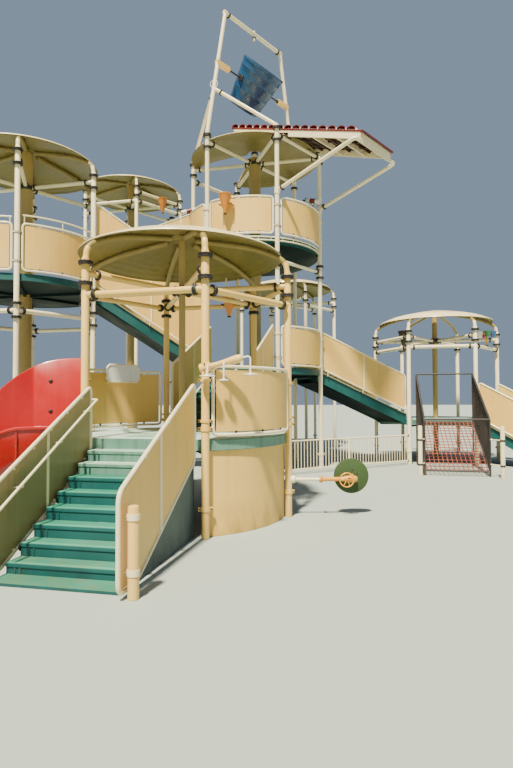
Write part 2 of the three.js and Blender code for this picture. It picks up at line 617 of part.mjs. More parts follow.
// An arm leans out from a post and turns in to the end of the roof.
function roofArm(n) {
  const out = plane(post(tall, n, 0), edgeAngle(0));
  const inward = (n === 0 ? 1 : -1) * (HEX / 2 - ROOF.board - GAP);
  const run = [out(0, 0, ARM.foot), out(ARM.out, 0, ARM.z), out(ARM.out, inward, ARM.z)];
  return pipe(eased(run, 120, 2), ARM.radius, 8);
}
const LEG = { foot: HEX, top: 1160, z: 12370, radius: 52, brace: [1500, 10100], axle: 10850, bearing: 1010 };
const PORTAL = 60; // azimuth of the bucket's axle and of the frame that holds it
const portal = plane(tall.centre, PORTAL);
const legAt = (z) => LEG.foot + ((LEG.top - LEG.foot) * (z - tall.flange - 80)) / (LEG.z - tall.flange - 80);
function bucketFrame() {
  const side = (sign) => {
    const at = (s, z) => portal(sign * s, 0, z);
    return [
      pipe([at(LEG.foot, headTop + GAP), at(LEG.foot, headTop + 80), at(LEG.top, LEG.z)], LEG.radius, 8),
      pipe([at(LEG.foot, headTop + GAP), at(LEG.foot, headTop + 30)], FLANGE.radius, 6),
      pipe([at(legAt(LEG.axle) + 60, LEG.axle), at(LEG.bearing + 21, LEG.axle)], 74, 4),
    ];
  };
  const beam = pipe([portal(-LEG.top - 60, 0, LEG.z), portal(LEG.top + 60, 0, LEG.z)], LEG.radius, 8);
  const nozzle = pipe([portal(0, 0, LEG.z + 90), portal(0, 0, LEG.z - 190)], 34, 8);
  const joint = portal(-legAt(LEG.brace[1]), 0, LEG.brace[1]);
  const brace = (n) => {
    const head = post(tall, n, headTop + 60);
    return [pipe([joint, head], 44, 6), pipe([post(tall, n, headTop + GAP), head], 60, 6)];
  };
  return fuse(side(-1), side(1), beam, nozzle, brace(0), brace(4));
}

// The tipping bucket rests tipped over the roof, as the photo has it; its axle runs along the portal.
const BUCKET = {
  tilt: 45, above: 537, below: 662, mouth: 633, base: 453, wall: 22, floor: 40, axle: 22, rim: 16, sides: 24,
};
function bucket() {
  const { above, below, mouth, base, wall, floor, rim } = BUCKET;
  const profile = [
    [0, -below], [base, -below], [mouth, above - 60], [mouth + rim, above - 60], [mouth + rim, above],
    [mouth - wall, above], [base - wall, floor - below], [0, floor - below],
  ];
  const axis = new THREE.Vector3(...polar(PORTAL, 1), 0);
  const tilt = new THREE.Matrix4().makeRotationAxis(axis, THREE.MathUtils.degToRad(BUCKET.tilt));
  const placing = upright([...tall.centre, LEG.axle]).multiply(tilt);
  const stub = (side) => {
    const ends = [545, LEG.bearing + 20.5].map((s) => portal(side * s, 0, LEG.axle));
    return pipe(ends, BUCKET.axle, 8);
  };
  return fuse(turned(profile, BUCKET.sides, placing), stub(1), stub(-1));
}

// A shallow dished cover on the radial tubes, with the sector between posts 3 and 4 left out
const COVER = { rise: [[1762, 0], [1250, 150], [650, 230], [200, 250]], thick: 28 };
function tallCover() {
  const seat = tall.flange - RADIAL_DROP + RIB.radius + 0.5;
  const under = COVER.rise.map(([r, z]) => [r, seat + z]);
  const over = under.map(([r, z]) => [r, z + COVER.thick]).reverse();
  const whole = turned([...under, ...over], 20, upright(tall.centre));
  const corner = (angle) => around(tall.centre, angle, 2400, 0);
  const sector = [tall.centre, corner(postAngle(3) + 1), corner(postAngle(4) - 1)];
  const wedge = prism(sector, seat - 50, seat + 500);
  return cut(whole, wedge, posts(tall, GAP), roofStruts(GAP));
}

// Two struts stand on the header of edge 0 and carry the roof through the edge of the cover.
function roofStruts(grow = 0) {
  const foot = tall.flange - RADIAL_DROP + RIB.radius + GAP - 1;
  const head = roofZ(APOTHEM) - 30;
  const strut = (t) => pipe([roofPlane(APOTHEM, t, foot), roofPlane(APOTHEM, t, head)], 30 + grow, 6);
  return fuse([-430, 430].map(strut));
}

// Tiled splash roof: a slope that runs out over edge 0 of the tall tower
function tileRoof() {
  const { from, to, half, thick, board: reach, plank, deep, eave } = ROOF;
  const strip = (a, b, drop) => [[a, roofZ(a) - drop], [b, roofZ(b) - drop], [b, roofZ(b)], [a, roofZ(a)]];
  const pieces = [board(roofPlane, strip(from, to, thick), -half, half)];
  for (const t of [-reach, reach - plank]) {
    pieces.push(board(roofPlane, strip(from + 60, eave, 120), t, t + plank));
    pieces.push(board(roofPlane, strip(eave, to - 60, deep), t, t + plank));
  }
  pieces.push(board(roofPlane, strip(to - 94, to - 60, deep + 90), -reach, reach));
  pieces.push(board(roofPlane, strip(from + 60, from + 94, 120), -reach, reach));
  for (const s of [2450, 3150]) pieces.push(board(roofPlane, strip(s, s + 60, 200), -reach, reach));
  const stem = pipe([roofPlane(0, 0, tall.flange + GAP), roofPlane(0, 0, roofZ(0) - thick / 2)], 60, 8);
  return fuse(pieces, roofStruts(), stem);
}

// Water cannons on the upper rails, each turning on an upright pin
const CANNON = { radius: 62, length: 430, pitch: -0.28, stem: 18, high: 150 };
function cannon(azimuth, railTop) {
  const at = around(tall.centre, azimuth, HEX, 0);
  const place = plane(at, azimuth);
  const z = railTop + CANNON.high;
  const along = (s) => place(s, 0, z + CANNON.pitch * s);
  return fuse(
    pipe([along(-CANNON.length * 0.45), along(CANNON.length * 0.55)], CANNON.radius, 10),
    pipe([along(-CANNON.length * 0.45 - 90), along(-CANNON.length * 0.45 + 5)], 26, 8),
    pipe([place(0, 0, railTop + GAP), place(0, 0, z)], CANNON.stem, 8),
  );
}
const UPPER_RAIL = { low: UPPER_DECK + 60, high: UPPER_DECK + 985 };
const CANNONS = { right: -21, left: 201 };

// The tall tower's cone hangs outside the front panel beside post 5, its rim level with the top rail.
const tallConeAt = edgeAngle(5) - 8.6;
const tallCone = {
  pivot: around(tall.centre, tallConeAt, HEX + CONE.aside, UPPER_RAIL.high - CONE.pinBelowRim),
  azimuth: tallConeAt + 90,
  aside: -CONE.aside,
};
const midDeck = (grow = 0) => deck(tall, MID_DECK, [5, 4, 1, 2], grow);
const seated = (tower, body) => cut(body, posts(tower, GAP), column(tower, GAP));
const ring = (tower, z) => pipe(arc(tower.centre, DECK_RADIUS + 8, 0, 340, 17, z), 20, 6, true);

add("tall_frame", fuse(towerFrame(tall, false), roofArm(0), roofArm(1)), "cream");
add("tall_canopy", tallCover(), "cream");
add("bucket_frame", bucketFrame(), "cream");
add("tipping_bucket", bucket(), "blue");
add("tall_upper_deck", seated(tall, fuse(deck(tall, UPPER_DECK, []), ring(tall, UPPER_DECK - 110))), "teal");
add("tall_mid_deck", seated(tall, midDeck()), "teal");
add("tall_rail_front", fuse(railBay(tall, 5, UPPER_RAIL.low, UPPER_RAIL.high), yoke(tallCone)), "cream");
add("tall_rail_right", railBay(tall, 0, UPPER_RAIL.low, UPPER_RAIL.high), "cream");
add("tall_rail_left", railBay(tall, 4, UPPER_RAIL.low, UPPER_RAIL.high), "cream");
add("tall_cone", cone(tallCone.pivot, tallCone.azimuth), "orange");
add("tall_mid_rail", railBay(tall, 0, MID_DECK + 60, MID_DECK + 1040), "cream");
add("tile_roof", tileRoof(), "tile");
add("cannon_right", cannon(CANNONS.right, UPPER_RAIL.high + TUBE), "cream");
add("cannon_left", cannon(CANNONS.left, UPPER_RAIL.high + TUBE), "cream");

// Flights between the towers; left and right are as one climbs
const SPAN = GRID - 2 * DECK_EDGE - 2 * GAP;
function flightNodes(name, tower, edge, low, high, leftHeight = FLIGHT.high) {
  const place = plane(edgeMiddle(tower, edge, GAP), edgeAngle(edge));
  const span = { run: SPAN, low, high };
  add(name + "_steps", flight(place, span), "teal");
  add(name + "_rail_left", flightRailing(place, span, 1, leftHeight), "cream");
  add(name + "_rail_right", flightRailing(place, span, -1), "cream");
}
flightNodes("front_stair", front, 2, FRONT_DECK, MID_DECK);
flightNodes("left_stair", tall, 4, MID_DECK, LEFT_DECK, FLIGHT.tall);
flightNodes("right_stair", right, 4, RIGHT_DECK, MID_DECK);

// Left tower
add("left_frame", towerFrame(left), "cream");
add("left_canopy", canopy(left, 18), "cream");
add("left_deck", seated(left, deck(left, LEFT_DECK, [1])), "teal");
add("left_rail_right", railBay(left, 0, LEFT_DECK + 60, LEFT_DECK + 1080, [LEFT_DECK + 1260]), "cream");
add("left_rail_left", railBay(left, 5, LEFT_DECK + 60, LEFT_DECK + 1080), "cream");

// Second tower on the left
add("second_frame", fuse(towerFrame(second), yoke(secondCone)), "cream");
add("second_canopy", canopy(second, 12), "cream");
const walkPlace = plane(edgeMiddle(tall, 3, GAP), edgeAngle(3));
const strip = (from, to, bottom, top) => [[from, bottom], [to, bottom], [to, top], [from, top]];
function walkway() {
  const { half, stringer, rail, end, low } = FLIGHT;
  const floor = board(walkPlace, strip(0, SPAN + 40, SECOND_DECK - DECK_THICK, SECOND_DECK), -half, half);
  const edges = [-half - stringer, half - 4].map((t) =>
    board(walkPlace, strip(4, SPAN - 4, UPPER_DECK + GAP, SECOND_DECK + 30), t, t + stringer + 4),
  );
  const rails = [-rail, rail].map((t) =>
    flightRail(walkPlace, t, strip(end, SPAN - end, SECOND_DECK + low, WALK_RAIL)),
  );
  const feet = [-1, 1].flatMap((side) => [300, SPAN - 300].map((s) =>
    pipe([walkPlace(s, side * rail, SECOND_DECK + low), walkPlace(s, side * rail, SECOND_DECK - 20),
      walkPlace(s, side * (half + stringer - 8), SECOND_DECK - 20)], 14, 4)));
  return fuse(floor, edges, rails, feet);
}
add("second_deck", seated(second, fuse(deck(second, SECOND_DECK, [0]), walkway())), "teal");
add("second_cone", cone(secondCone.pivot, secondCone.azimuth), "orange");

// Right tower: its canopy covers only the three near bays
add("right_frame", fuse(towerFrame(right), yoke(rightCone)), "cream");
const HALF_ROOF = { reach: 2200, past: 40 };
const halfCorner = (x, y) => [right.centre[0] + x, right.centre[1] + y];
const farHalfPlan = [
  halfCorner(-HALF_ROOF.reach, HALF_ROOF.past), halfCorner(HALF_ROOF.reach, HALF_ROOF.past),
  halfCorner(HALF_ROOF.reach, HALF_ROOF.reach), halfCorner(-HALF_ROOF.reach, HALF_ROOF.reach),
];
const farHalf = prism(farHalfPlan, right.flange, right.flange + 1200);
add("right_canopy", cut(canopy(right, 18), farHalf), "cream");
add("right_deck", seated(right, deck(right, RIGHT_DECK, [4, 5, 0])), "pale");
add("right_cone", cone(rightCone.pivot, rightCone.azimuth), "black");

// Coloured cups on a stem above the right tower's header
const CUPS = { z: 3900, spread: 190, mouth: 105, tip: 60, height: 190, stem: 22 };
function cups() {
  const foot = around(right.centre, edgeAngle(0), APOTHEM, right.flange - HEADER_DROP + 50 + GAP);
  const cup = (k) => {
    const at = around(foot, 90 * k, CUPS.spread, CUPS.z);
    const { tip, mouth, height } = CUPS;
    const profile = [
      [0, -height], [tip, -height], [mouth, 0],
      [mouth - 8, 0], [tip - 8, 20 - height], [0, 20 - height],
    ];
    const armZ = CUPS.z - 60;
    return [turned(profile, 8, upright(at)), pipe([[foot[0], foot[1], armZ], [at[0], at[1], armZ]], 14, 4)];
  };
  return fuse(pipe([foot, [foot[0], foot[1], CUPS.z]], CUPS.stem, 6), [0, 1, 2, 3].flatMap(cup));
}

// Exit stair of the right tower, down to the water
const EXIT_RUN = 2100;
const exit = plane(edgeMiddle(right, 0, GAP + EXIT_RUN), edgeAngle(0) + 180);
const exitSpan = { run: EXIT_RUN, low: 0, high: RIGHT_DECK };
const exitRails = [1, -1].map((side) => flightRailing(exit, exitSpan, side, FLIGHT.high, -7.3));
add("exit_stair", fuse(flight(exit, exitSpan), exitRails), "teal");

// Net climb up to edge 5 of the right tower: a box frame with mesh sides, and the net between its lower rails
const NET = {
  left: 4470, right: 6000, rear: 7385, front: 5250, tube: 24, mesh: 8,
  rearTop: 2610, frontTop: 1390, rearNet: 1240, frontNet: 120,
};
function netFrame() {
  const { left: l, right: r, rear, front: f, rearTop, frontTop, rearNet, frontNet, tube, mesh } = NET;
  const meshLine = [[0, frontNet], [rear - f, rearNet], [rear - f, rearTop], [0, frontTop]];
  const side = (x) => [
    pipe([[x, rear, 0], [x, rear, rearTop], [x, f, frontTop], [x, f, 0]], tube, 6),
    pipe([[x, rear, rearNet], [x, f, frontNet]], tube, 6),
    board(plane([x, f], 90), meshLine, -mesh / 2, mesh / 2),
  ];
  const across = (y, z) => pipe([[l, y, z], [r, y, z]], tube, 6);
  const deckFace = right.centre[1] - DECK_EDGE - GAP;
  const clamp = (x) => pipe([[x, rear, rearNet - 20], [x, deckFace, rearNet - 20]], 20, 4);
  const standard = (x, near) => [
    pipe([[x, f - 300, 0], [x, f - 300, 1250]], 50, 6),
    [300, 900].map((z) => pipe([[x, f - 300, z], [near, f, z]], 18, 4)),
  ];
  const bars = [across(rear, rearTop), across(rear, rearNet), across(f, frontTop), across(f, frontNet)];
  const standards = [standard(l - 130, l), standard(r + 220, r)].flat(2);
  return fuse(side(l), side(r), bars, standards, clamp(l), clamp(r));
}
add("net_frame", netFrame(), "black");
const netEdge = NET.tube * FLAT + GAP;
const netSlope = (NET.rearNet - NET.frontNet) / (NET.rear - NET.front);
const netPlace = plane([(NET.left + NET.right) / 2, NET.front], 90);
const netHalf = (NET.right - NET.left) / 2 - netEdge;
const netLine = (s) => NET.frontNet + netSlope * s;
const NET_THICK = 24;
const [netFoot, netHead] = [netEdge + 4, NET.rear - NET.front - netEdge - 4];
const netPoint = (s, side) => [s, netLine(s) + (side * NET_THICK) / 2];
const netOutline = [netPoint(netFoot, -1), netPoint(netHead, -1), netPoint(netHead, 1), netPoint(netFoot, 1)];
add("rope_net", board(netPlace, netOutline, -netHalf, netHalf), "rope");
add("colour_cups", cups(), "yellow");

// Fence between the tall tower and the right tower, at the water
const fenceStart = post(tall, 0, 0);
const fenceEnd = post(right, 5, 0);
const [fenceX, fenceY] = [fenceEnd[0] - fenceStart[0], fenceEnd[1] - fenceStart[1]];
const fenceAzimuth = THREE.MathUtils.radToDeg(Math.atan2(fenceY, fenceX));
const fenceLength = Math.hypot(fenceX, fenceY);
const FENCE = { bars: 9, from: 180 };
function fence() {
  const place = plane(fenceStart, fenceAzimuth);
  const rail = (z) => pipe([place(0, 0, z), place(fenceLength, 0, z)], 18, 6);
  const step = (fenceLength - 2 * FENCE.from) / (FENCE.bars - 1);
  const bar = (s) => pipe([place(s, 0, 120), place(s, 0, 850)], 11, 4);
  const bars = Array.from({ length: FENCE.bars }, (_, k) => bar(FENCE.from + k * step));
  const middle = pipe([place(fenceLength / 2, 0, 0), place(fenceLength / 2, 0, 870)], 32, 6);
  return cut(fuse(rail(850), rail(120), bars, middle), posts(tall, GAP), posts(right, GAP));
}
add("fence", fence(), "cream");

// Far tower
add("far_frame", towerFrame(far), "cream");
add("far_canopy", canopy(far, 12), "cream");
const bridgeLine = strip(0, SPAN + 40, MID_DECK - DECK_THICK, MID_DECK);
const bridge = board(plane(edgeMiddle(tall, 2, GAP), 90), bridgeLine, -FLIGHT.half, FLIGHT.half);
add("far_deck", seated(far, fuse(deck(far, MID_DECK, [5]), bridge)), "teal");

export default root;
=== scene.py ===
# %% [markdown]
# A water play structure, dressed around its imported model.
# The real thing stands in a paddling pool: six round-roofed towers on bolted tube posts, joined by stairs,
# with a slide, a net climb and a big bucket that tips over a tiled roof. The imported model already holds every
# size and every joint, so this lesson never moves it. Each step builds a finer piece in the same frame, in
# metres, lets it ride on the right body, and says which plain solid it stands for.

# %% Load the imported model
import math

import bpy
import numpy as np
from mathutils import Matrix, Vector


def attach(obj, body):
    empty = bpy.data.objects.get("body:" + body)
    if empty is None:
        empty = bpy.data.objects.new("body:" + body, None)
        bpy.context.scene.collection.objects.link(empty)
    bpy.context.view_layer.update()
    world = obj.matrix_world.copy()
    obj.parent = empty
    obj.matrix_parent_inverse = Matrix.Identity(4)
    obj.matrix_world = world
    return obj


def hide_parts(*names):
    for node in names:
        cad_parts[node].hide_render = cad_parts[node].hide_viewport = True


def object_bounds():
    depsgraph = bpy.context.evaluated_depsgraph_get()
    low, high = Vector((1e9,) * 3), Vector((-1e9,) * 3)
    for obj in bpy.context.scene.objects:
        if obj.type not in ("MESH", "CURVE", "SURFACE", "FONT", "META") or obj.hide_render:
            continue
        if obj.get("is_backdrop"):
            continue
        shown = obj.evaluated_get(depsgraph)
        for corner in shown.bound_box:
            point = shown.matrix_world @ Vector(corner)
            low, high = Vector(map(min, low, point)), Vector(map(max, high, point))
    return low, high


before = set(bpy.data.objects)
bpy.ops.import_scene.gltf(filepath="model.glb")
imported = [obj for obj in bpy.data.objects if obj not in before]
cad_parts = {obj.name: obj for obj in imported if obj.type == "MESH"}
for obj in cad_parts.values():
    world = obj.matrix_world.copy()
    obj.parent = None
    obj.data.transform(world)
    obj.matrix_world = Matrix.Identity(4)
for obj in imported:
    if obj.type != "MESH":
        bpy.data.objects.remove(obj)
cad_box = [list(corner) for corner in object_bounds()]

# %% [markdown]
# The towers stand on a triangular grid, so a handful of lengths places everything. They are the model's
# driving dimensions, written here in metres. Every point could be typed in by itself, but a small table and a
# few functions of an angle keep the six towers alike.

# %% Driving dimensions
HEX = 1.83  # centre of a tower to each of its six posts
GRID = 5.98  # centre to centre of neighbouring towers
POST = 0.057
APOTHEM = HEX * math.cos(math.pi / 6)
DECK_RADIUS = 1.8
DECK_EDGE = DECK_RADIUS * math.cos(math.pi / 6)
DECK_THICK = 0.15
FLANGE_RADIUS = 0.106
FLANGE_DROP = 0.304  # between the two flanges at the head of a post
HEADER_DROP = 0.47
RAIL_TUBE = 0.024
FRONT_DECK, MID_DECK, LEFT_DECK, UPPER_DECK, SECOND_DECK, RIGHT_DECK = 1.35, 2.7, 4.65, 6.0, 6.2, 1.3


def polar(degrees, radius):
    a = math.radians(degrees)
    return np.array([radius * math.cos(a), radius * math.sin(a)])


def grid(i, j):
    return polar(150, GRID * j) + np.array([0, GRID * i])


def around(centre, degrees, radius, z):
    x, y = np.array(centre[:2]) + polar(degrees, radius)
    return np.array([x, y, z])


# flange: height of the post heads; column: radius of the centre post; headers, backs: sides with a beam;
# collars: heights of the clamps on the posts
TOWERS = {
    "front": dict(centre=grid(0, 0), flange=3.915, column=0.057, headers=(4, 5, 0), backs=(1, 2, 3),
                  collars=(0.4, 1.5)),
    "right": dict(centre=grid(2, -1), flange=3.875, column=0.08, headers=(4, 5, 0), backs=(4,),
                  collars=(0.4,)),
    "far": dict(centre=grid(2, 0), flange=5.77, column=0.08, headers=(0,), backs=(), collars=(0.4,)),
    "left": dict(centre=grid(0, 1), flange=7.33, column=0.15, headers=(), backs=(), low=3.84,
                 collars=(0.4, 2.3)),
    "second": dict(centre=grid(1, 1), flange=8.9, column=0.135, headers=(4, 5, 0), backs=(0,),
                   collars=(2.4,)),
    "tall": dict(centre=grid(1, 0), flange=8.737, column=0.165, headers=(3,), backs=(0,),
                 collars=(0.4, 2.95)),
}


def post_angle(n):
    return -60 + 60 * n


def post(tower, n, z):
    return around(tower["centre"], post_angle(n), HEX, z)


def edge_angle(n):
    return post_angle(n) + 30


def edge_middle(tower, n, apart=0.0):
    return around(tower["centre"], edge_angle(n), DECK_EDGE + apart, 0)


def side_view(foot, azimuth):
    """An upright plane through foot: s along the azimuth, t to its left, z up."""
    dx, dy = polar(azimuth, 1)
    return lambda s, t, z: np.array([foot[0] + dx * s - dy * t, foot[1] + dy * s + dx * t, z])


print("towers at", {name: [round(float(v), 2) for v in t["centre"]] for name, t in TOWERS.items()})

# %% [markdown]
# The photographer stood in the pool, a little to the right of the entry stair, and held the camera almost
# level. The view could be matched by eye, but here place, heading, pitch and focal length were worked out
# from the post lines and stair widths, so the render lines up with the photograph without any shift.

# %% Camera at the photographer's eye
EYE = (3.1337, -8.6137, 1.908)
HEADING = 102.012  # degrees from +X
PITCH = 1.642
ROLL = 0.219
FOCAL_PIXELS = 530.26
IMAGE_SIZE = (513, 768)
SENSOR = 36.0  # millimetres along the image's long side

camera = bpy.data.objects.new("camera", bpy.data.cameras.new("camera"))
bpy.context.scene.collection.objects.link(camera)
bpy.context.scene.camera = camera
camera.location = EYE
camera.data.sensor_width = SENSOR
camera.data.lens = FOCAL_PIXELS / max(IMAGE_SIZE) * SENSOR
camera.data.clip_end = 500
camera.rotation_mode = "XYZ"
camera.rotation_euler = (math.radians(90 + PITCH), math.radians(ROLL), math.radians(HEADING - 90))
print("lens", round(camera.data.lens, 2), "mm")

# %% [markdown]
# Light: the real place has a high sun behind the photographer, a little to the left. The shadow that the
# shower club throws on the skirt wall puts it at 72 to 77 degrees, but under such a sun the walls that face
# the camera come out darker than in the photograph, so the lamp stands at 60. It is one broad, soft sun, and
# a pale sky fills the shade. The floor is a plain disc of pale grey-green, as of shallow water, that throws
# light back up.

# %% Light, sky and floor
sun = bpy.data.objects.new("soft_sun", bpy.data.lights.new("soft_sun", "SUN"))
bpy.context.scene.collection.objects.link(sun)
SUN_HEIGHT, SUN_AZIMUTH = 60, -97  # degrees above the water, and from +X
sun.data.energy = 11.5
sun.data.angle = math.radians(4)
sun.data.color = (1.0, 0.92, 0.72)
sun.rotation_euler = (math.radians(90 - SUN_HEIGHT), 0, math.radians(SUN_AZIMUTH + 90))

sky = bpy.data.worlds.new("pale_sky")
bpy.context.scene.world = sky
sky.use_nodes = True
background = sky.node_tree.nodes["Background"]
background.inputs["Color"].default_value = (0.50, 0.66, 0.88, 1)
background.inputs["Strength"].default_value = 0.45

FLOOR_RADIUS = 160
FLOOR_SIDES = 72
floor_mesh = bpy.data.meshes.new("floor")
floor_ring = [(*polar(k * 360 / FLOOR_SIDES, FLOOR_RADIUS), -0.004) for k in range(FLOOR_SIDES)]
floor_mesh.from_pydata(floor_ring, [], [list(range(FLOOR_SIDES))])
floor = bpy.data.objects.new("floor", floor_mesh)
bpy.context.scene.collection.objects.link(floor)
floor_paint = bpy.data.materials.new("pale_floor")
floor_paint.use_nodes = True
floor_shader = floor_paint.node_tree.nodes["Principled BSDF"]
floor_shader.inputs["Base Color"].default_value = (0.36, 0.41, 0.37, 1)
floor_shader.inputs["Roughness"].default_value = 0.9
floor_mesh.materials.append(floor_paint)
floor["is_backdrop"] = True
print("sun energy", sun.data.energy, "floor radius", FLOOR_RADIUS)

# %% [markdown]
# Finishes. Sun, salt water and rubbing hands leave the same marks on all the parts, whatever they are made
# of: the colour fades in clouds, drips draw pale and dark lines down it, and dirt gathers where it stands in
# the water. That belongs in one node group with named sockets, used by every finish with its own amounts. It
# reads the object's own coordinates, so the marks stay in place when a piece swings.

# %% A node group for sun, drips and water line
def srgb(red, green, blue):
    """A colour as a photograph's 0 to 255 numbers, turned to linear light."""
    return tuple(((c / 255 + 0.055) / 1.055) ** 2.4 for c in (red, green, blue)) + (1.0,)


def new_group(name, inputs, outputs):
    group = bpy.data.node_groups.new(name, "ShaderNodeTree")
    for title, kind, value in inputs:
        socket = group.interface.new_socket(title, in_out="INPUT", socket_type=kind)
        socket.default_value = value
    for title, kind in outputs:
        group.interface.new_socket(title, in_out="OUTPUT", socket_type=kind)
    return group, group.nodes.new("NodeGroupInput"), group.nodes.new("NodeGroupOutput")


def place_node(tree, kind, **values):
    """A node with its unlinked inputs set by name."""
    node = tree.nodes.new(kind)
    for key, value in values.items():
        node.inputs[key.replace("_", " ")].default_value = value
    return node


def scaled_noise(tree, coordinates, scale, detail):
    """Noise stretched by a scale in each direction."""
    mapping = place_node(tree, "ShaderNodeMapping", Scale=scale)
    noise = place_node(tree, "ShaderNodeTexNoise", Scale=1.0, Detail=detail)
    tree.links.new(coordinates, mapping.inputs["Vector"])
    tree.links.new(mapping.outputs["Vector"], noise.inputs["Vector"])
    return noise.outputs["Fac"]


def remap(tree, value, low, high, to_low=0.0, to_high=1.0):
    node = place_node(tree, "ShaderNodeMapRange", From_Min=low, From_Max=high, To_Min=to_low, To_Max=to_high)
    tree.links.new(value, node.inputs["Value"])
    return node.outputs["Result"]


def combine(tree, operation, first, second):
    """Two values, each a socket or a number, through one sum."""
    node = tree.nodes.new("ShaderNodeMath")
    node.operation = operation
    for socket, value in zip(node.inputs, (first, second)):
        if isinstance(value, (int, float)):
            socket.default_value = value
        else:
            tree.links.new(value, socket)
    return node.outputs[0]


def blend_colours(tree, amount, first, second):
    """Two colours, each a socket or a value, mixed by an amount."""
    node = tree.nodes.new("ShaderNodeMix")
    node.data_type = "RGBA"
    tree.links.new(amount, node.inputs["Factor"])
    for socket, value in ((node.inputs[6], first), (node.inputs[7], second)):
        if isinstance(value, tuple):
            socket.default_value = value
        else:
            tree.links.new(value, socket)
    return node.outputs[2]


def build_weather_group():
    group, given, result = new_group(
        "sun_and_drips",
        [("Colour", "NodeSocketColor", (0.8, 0.8, 0.8, 1)), ("Faded", "NodeSocketColor", (0.9, 0.9, 0.9, 1)),
         ("Dirt", "NodeSocketColor", (0.2, 0.17, 0.1, 1)), ("Fading", "NodeSocketFloat", 0.5),
         ("Streaks", "NodeSocketFloat", 0.3), ("Water line", "NodeSocketFloat", 0.5),
         ("Smooth", "NodeSocketFloat", 0.35), ("Rough", "NodeSocketFloat", 0.55)],
        [("Colour", "NodeSocketColor"), ("Roughness", "NodeSocketFloat"), ("Height", "NodeSocketFloat")])
    where = group.nodes.new("ShaderNodeTexCoord").outputs["Object"]
    clouds = remap(group, scaled_noise(group, where, (1.1, 1.1, 0.8), 4.0), 0.36, 0.66)
    drips = remap(group, scaled_noise(group, where, (13, 13, 0.5), 5.0), 0.52, 0.74)
    spots = remap(group, scaled_noise(group, where, (30, 30, 30), 2.0), 0.66, 0.74)
    grain = scaled_noise(group, where, (190, 190, 190), 1.0)
    height = place_node(group, "ShaderNodeSeparateXYZ")
    group.links.new(where, height.inputs["Vector"])
    low = remap(group, height.outputs["Z"], 0.55, 0.0)
    wet = combine(group, "MULTIPLY", combine(group, "MULTIPLY", low, given.outputs["Water line"]),
                  remap(group, scaled_noise(group, where, (5, 5, 2), 4.0), 0.3, 0.7))
    faded = blend_colours(group, combine(group, "MULTIPLY", clouds, given.outputs["Fading"]),
                          given.outputs["Colour"], given.outputs["Faded"])
    streaked = combine(group, "MULTIPLY", drips, given.outputs["Streaks"])
    marks = combine(group, "MAXIMUM", streaked, combine(group, "MAXIMUM", wet,
                                                        combine(group, "MULTIPLY", spots, 0.12)))
    group.links.new(blend_colours(group, marks, faded, given.outputs["Dirt"]), result.inputs["Colour"])
    span = combine(group, "SUBTRACT", given.outputs["Rough"], given.outputs["Smooth"])
    rough = combine(group, "ADD", given.outputs["Smooth"],
                    combine(group, "MULTIPLY", span, combine(group, "MAXIMUM", clouds, marks)))
    group.links.new(rough, result.inputs["Roughness"])
    group.links.new(combine(group, "ADD", combine(group, "MULTIPLY", grain, 0.4),
                            combine(group, "MULTIPLY", clouds, 0.6)),
                    result.inputs["Height"])
    return group


WEATHER = build_weather_group()
print("group", WEATHER.name, "with", len(WEATHER.nodes), "nodes")

# %% [markdown]
# The walked-on parts have a second effect in common: a moulded grit that keeps wet feet from slipping. It is
# a cell pattern a few millimetres wide that only lifts the surface, so its group gives a height and a mask
# for the pale scuffed tips.

# %% A node group for non-slip grit
def build_grit_group():
    group, given, result = new_group(
        "non_slip_grit", [("Cells per metre", "NodeSocketFloat", 60.0), ("Scuffing", "NodeSocketFloat", 0.4)],
        [("Height", "NodeSocketFloat"), ("Scuffed", "NodeSocketFloat")])
    where = group.nodes.new("ShaderNodeTexCoord").outputs["Object"]
    cells = place_node(group, "ShaderNodeTexVoronoi")
    group.links.new(where, cells.inputs["Vector"])
    group.links.new(given.outputs["Cells per metre"], cells.inputs["Scale"])
    bumps = remap(group, cells.outputs["Distance"], 0.1, 0.55, 1.0, 0.0)
    worn = remap(group, scaled_noise(group, where, (2.2, 2.2, 2.2), 5.0), 0.45, 0.7)
    group.links.new(bumps, result.inputs["Height"])
    group.links.new(combine(group, "MULTIPLY", combine(group, "MULTIPLY", worn, given.outputs["Scuffing"]),
                            bumps),
                    result.inputs["Scuffed"])
    return group


GRIT = build_grit_group()
print("group", GRIT.name, "with", len(GRIT.nodes), "nodes")

# %% [markdown]
# Each finish is a Principled BSDF of its own with the weather group in front of it. Painted steel is a
# semi-gloss powder coat; sheets and shells are moulded plastic; decks add the grit. What is the same all
# over, such as the coat or the specular level, is a plain number on the shader. Separate node trees would
# drift apart, so one function builds them all.

# %% Finishes
DIRT = srgb(122, 104, 66)
DARK_DIRT = srgb(24, 26, 24)


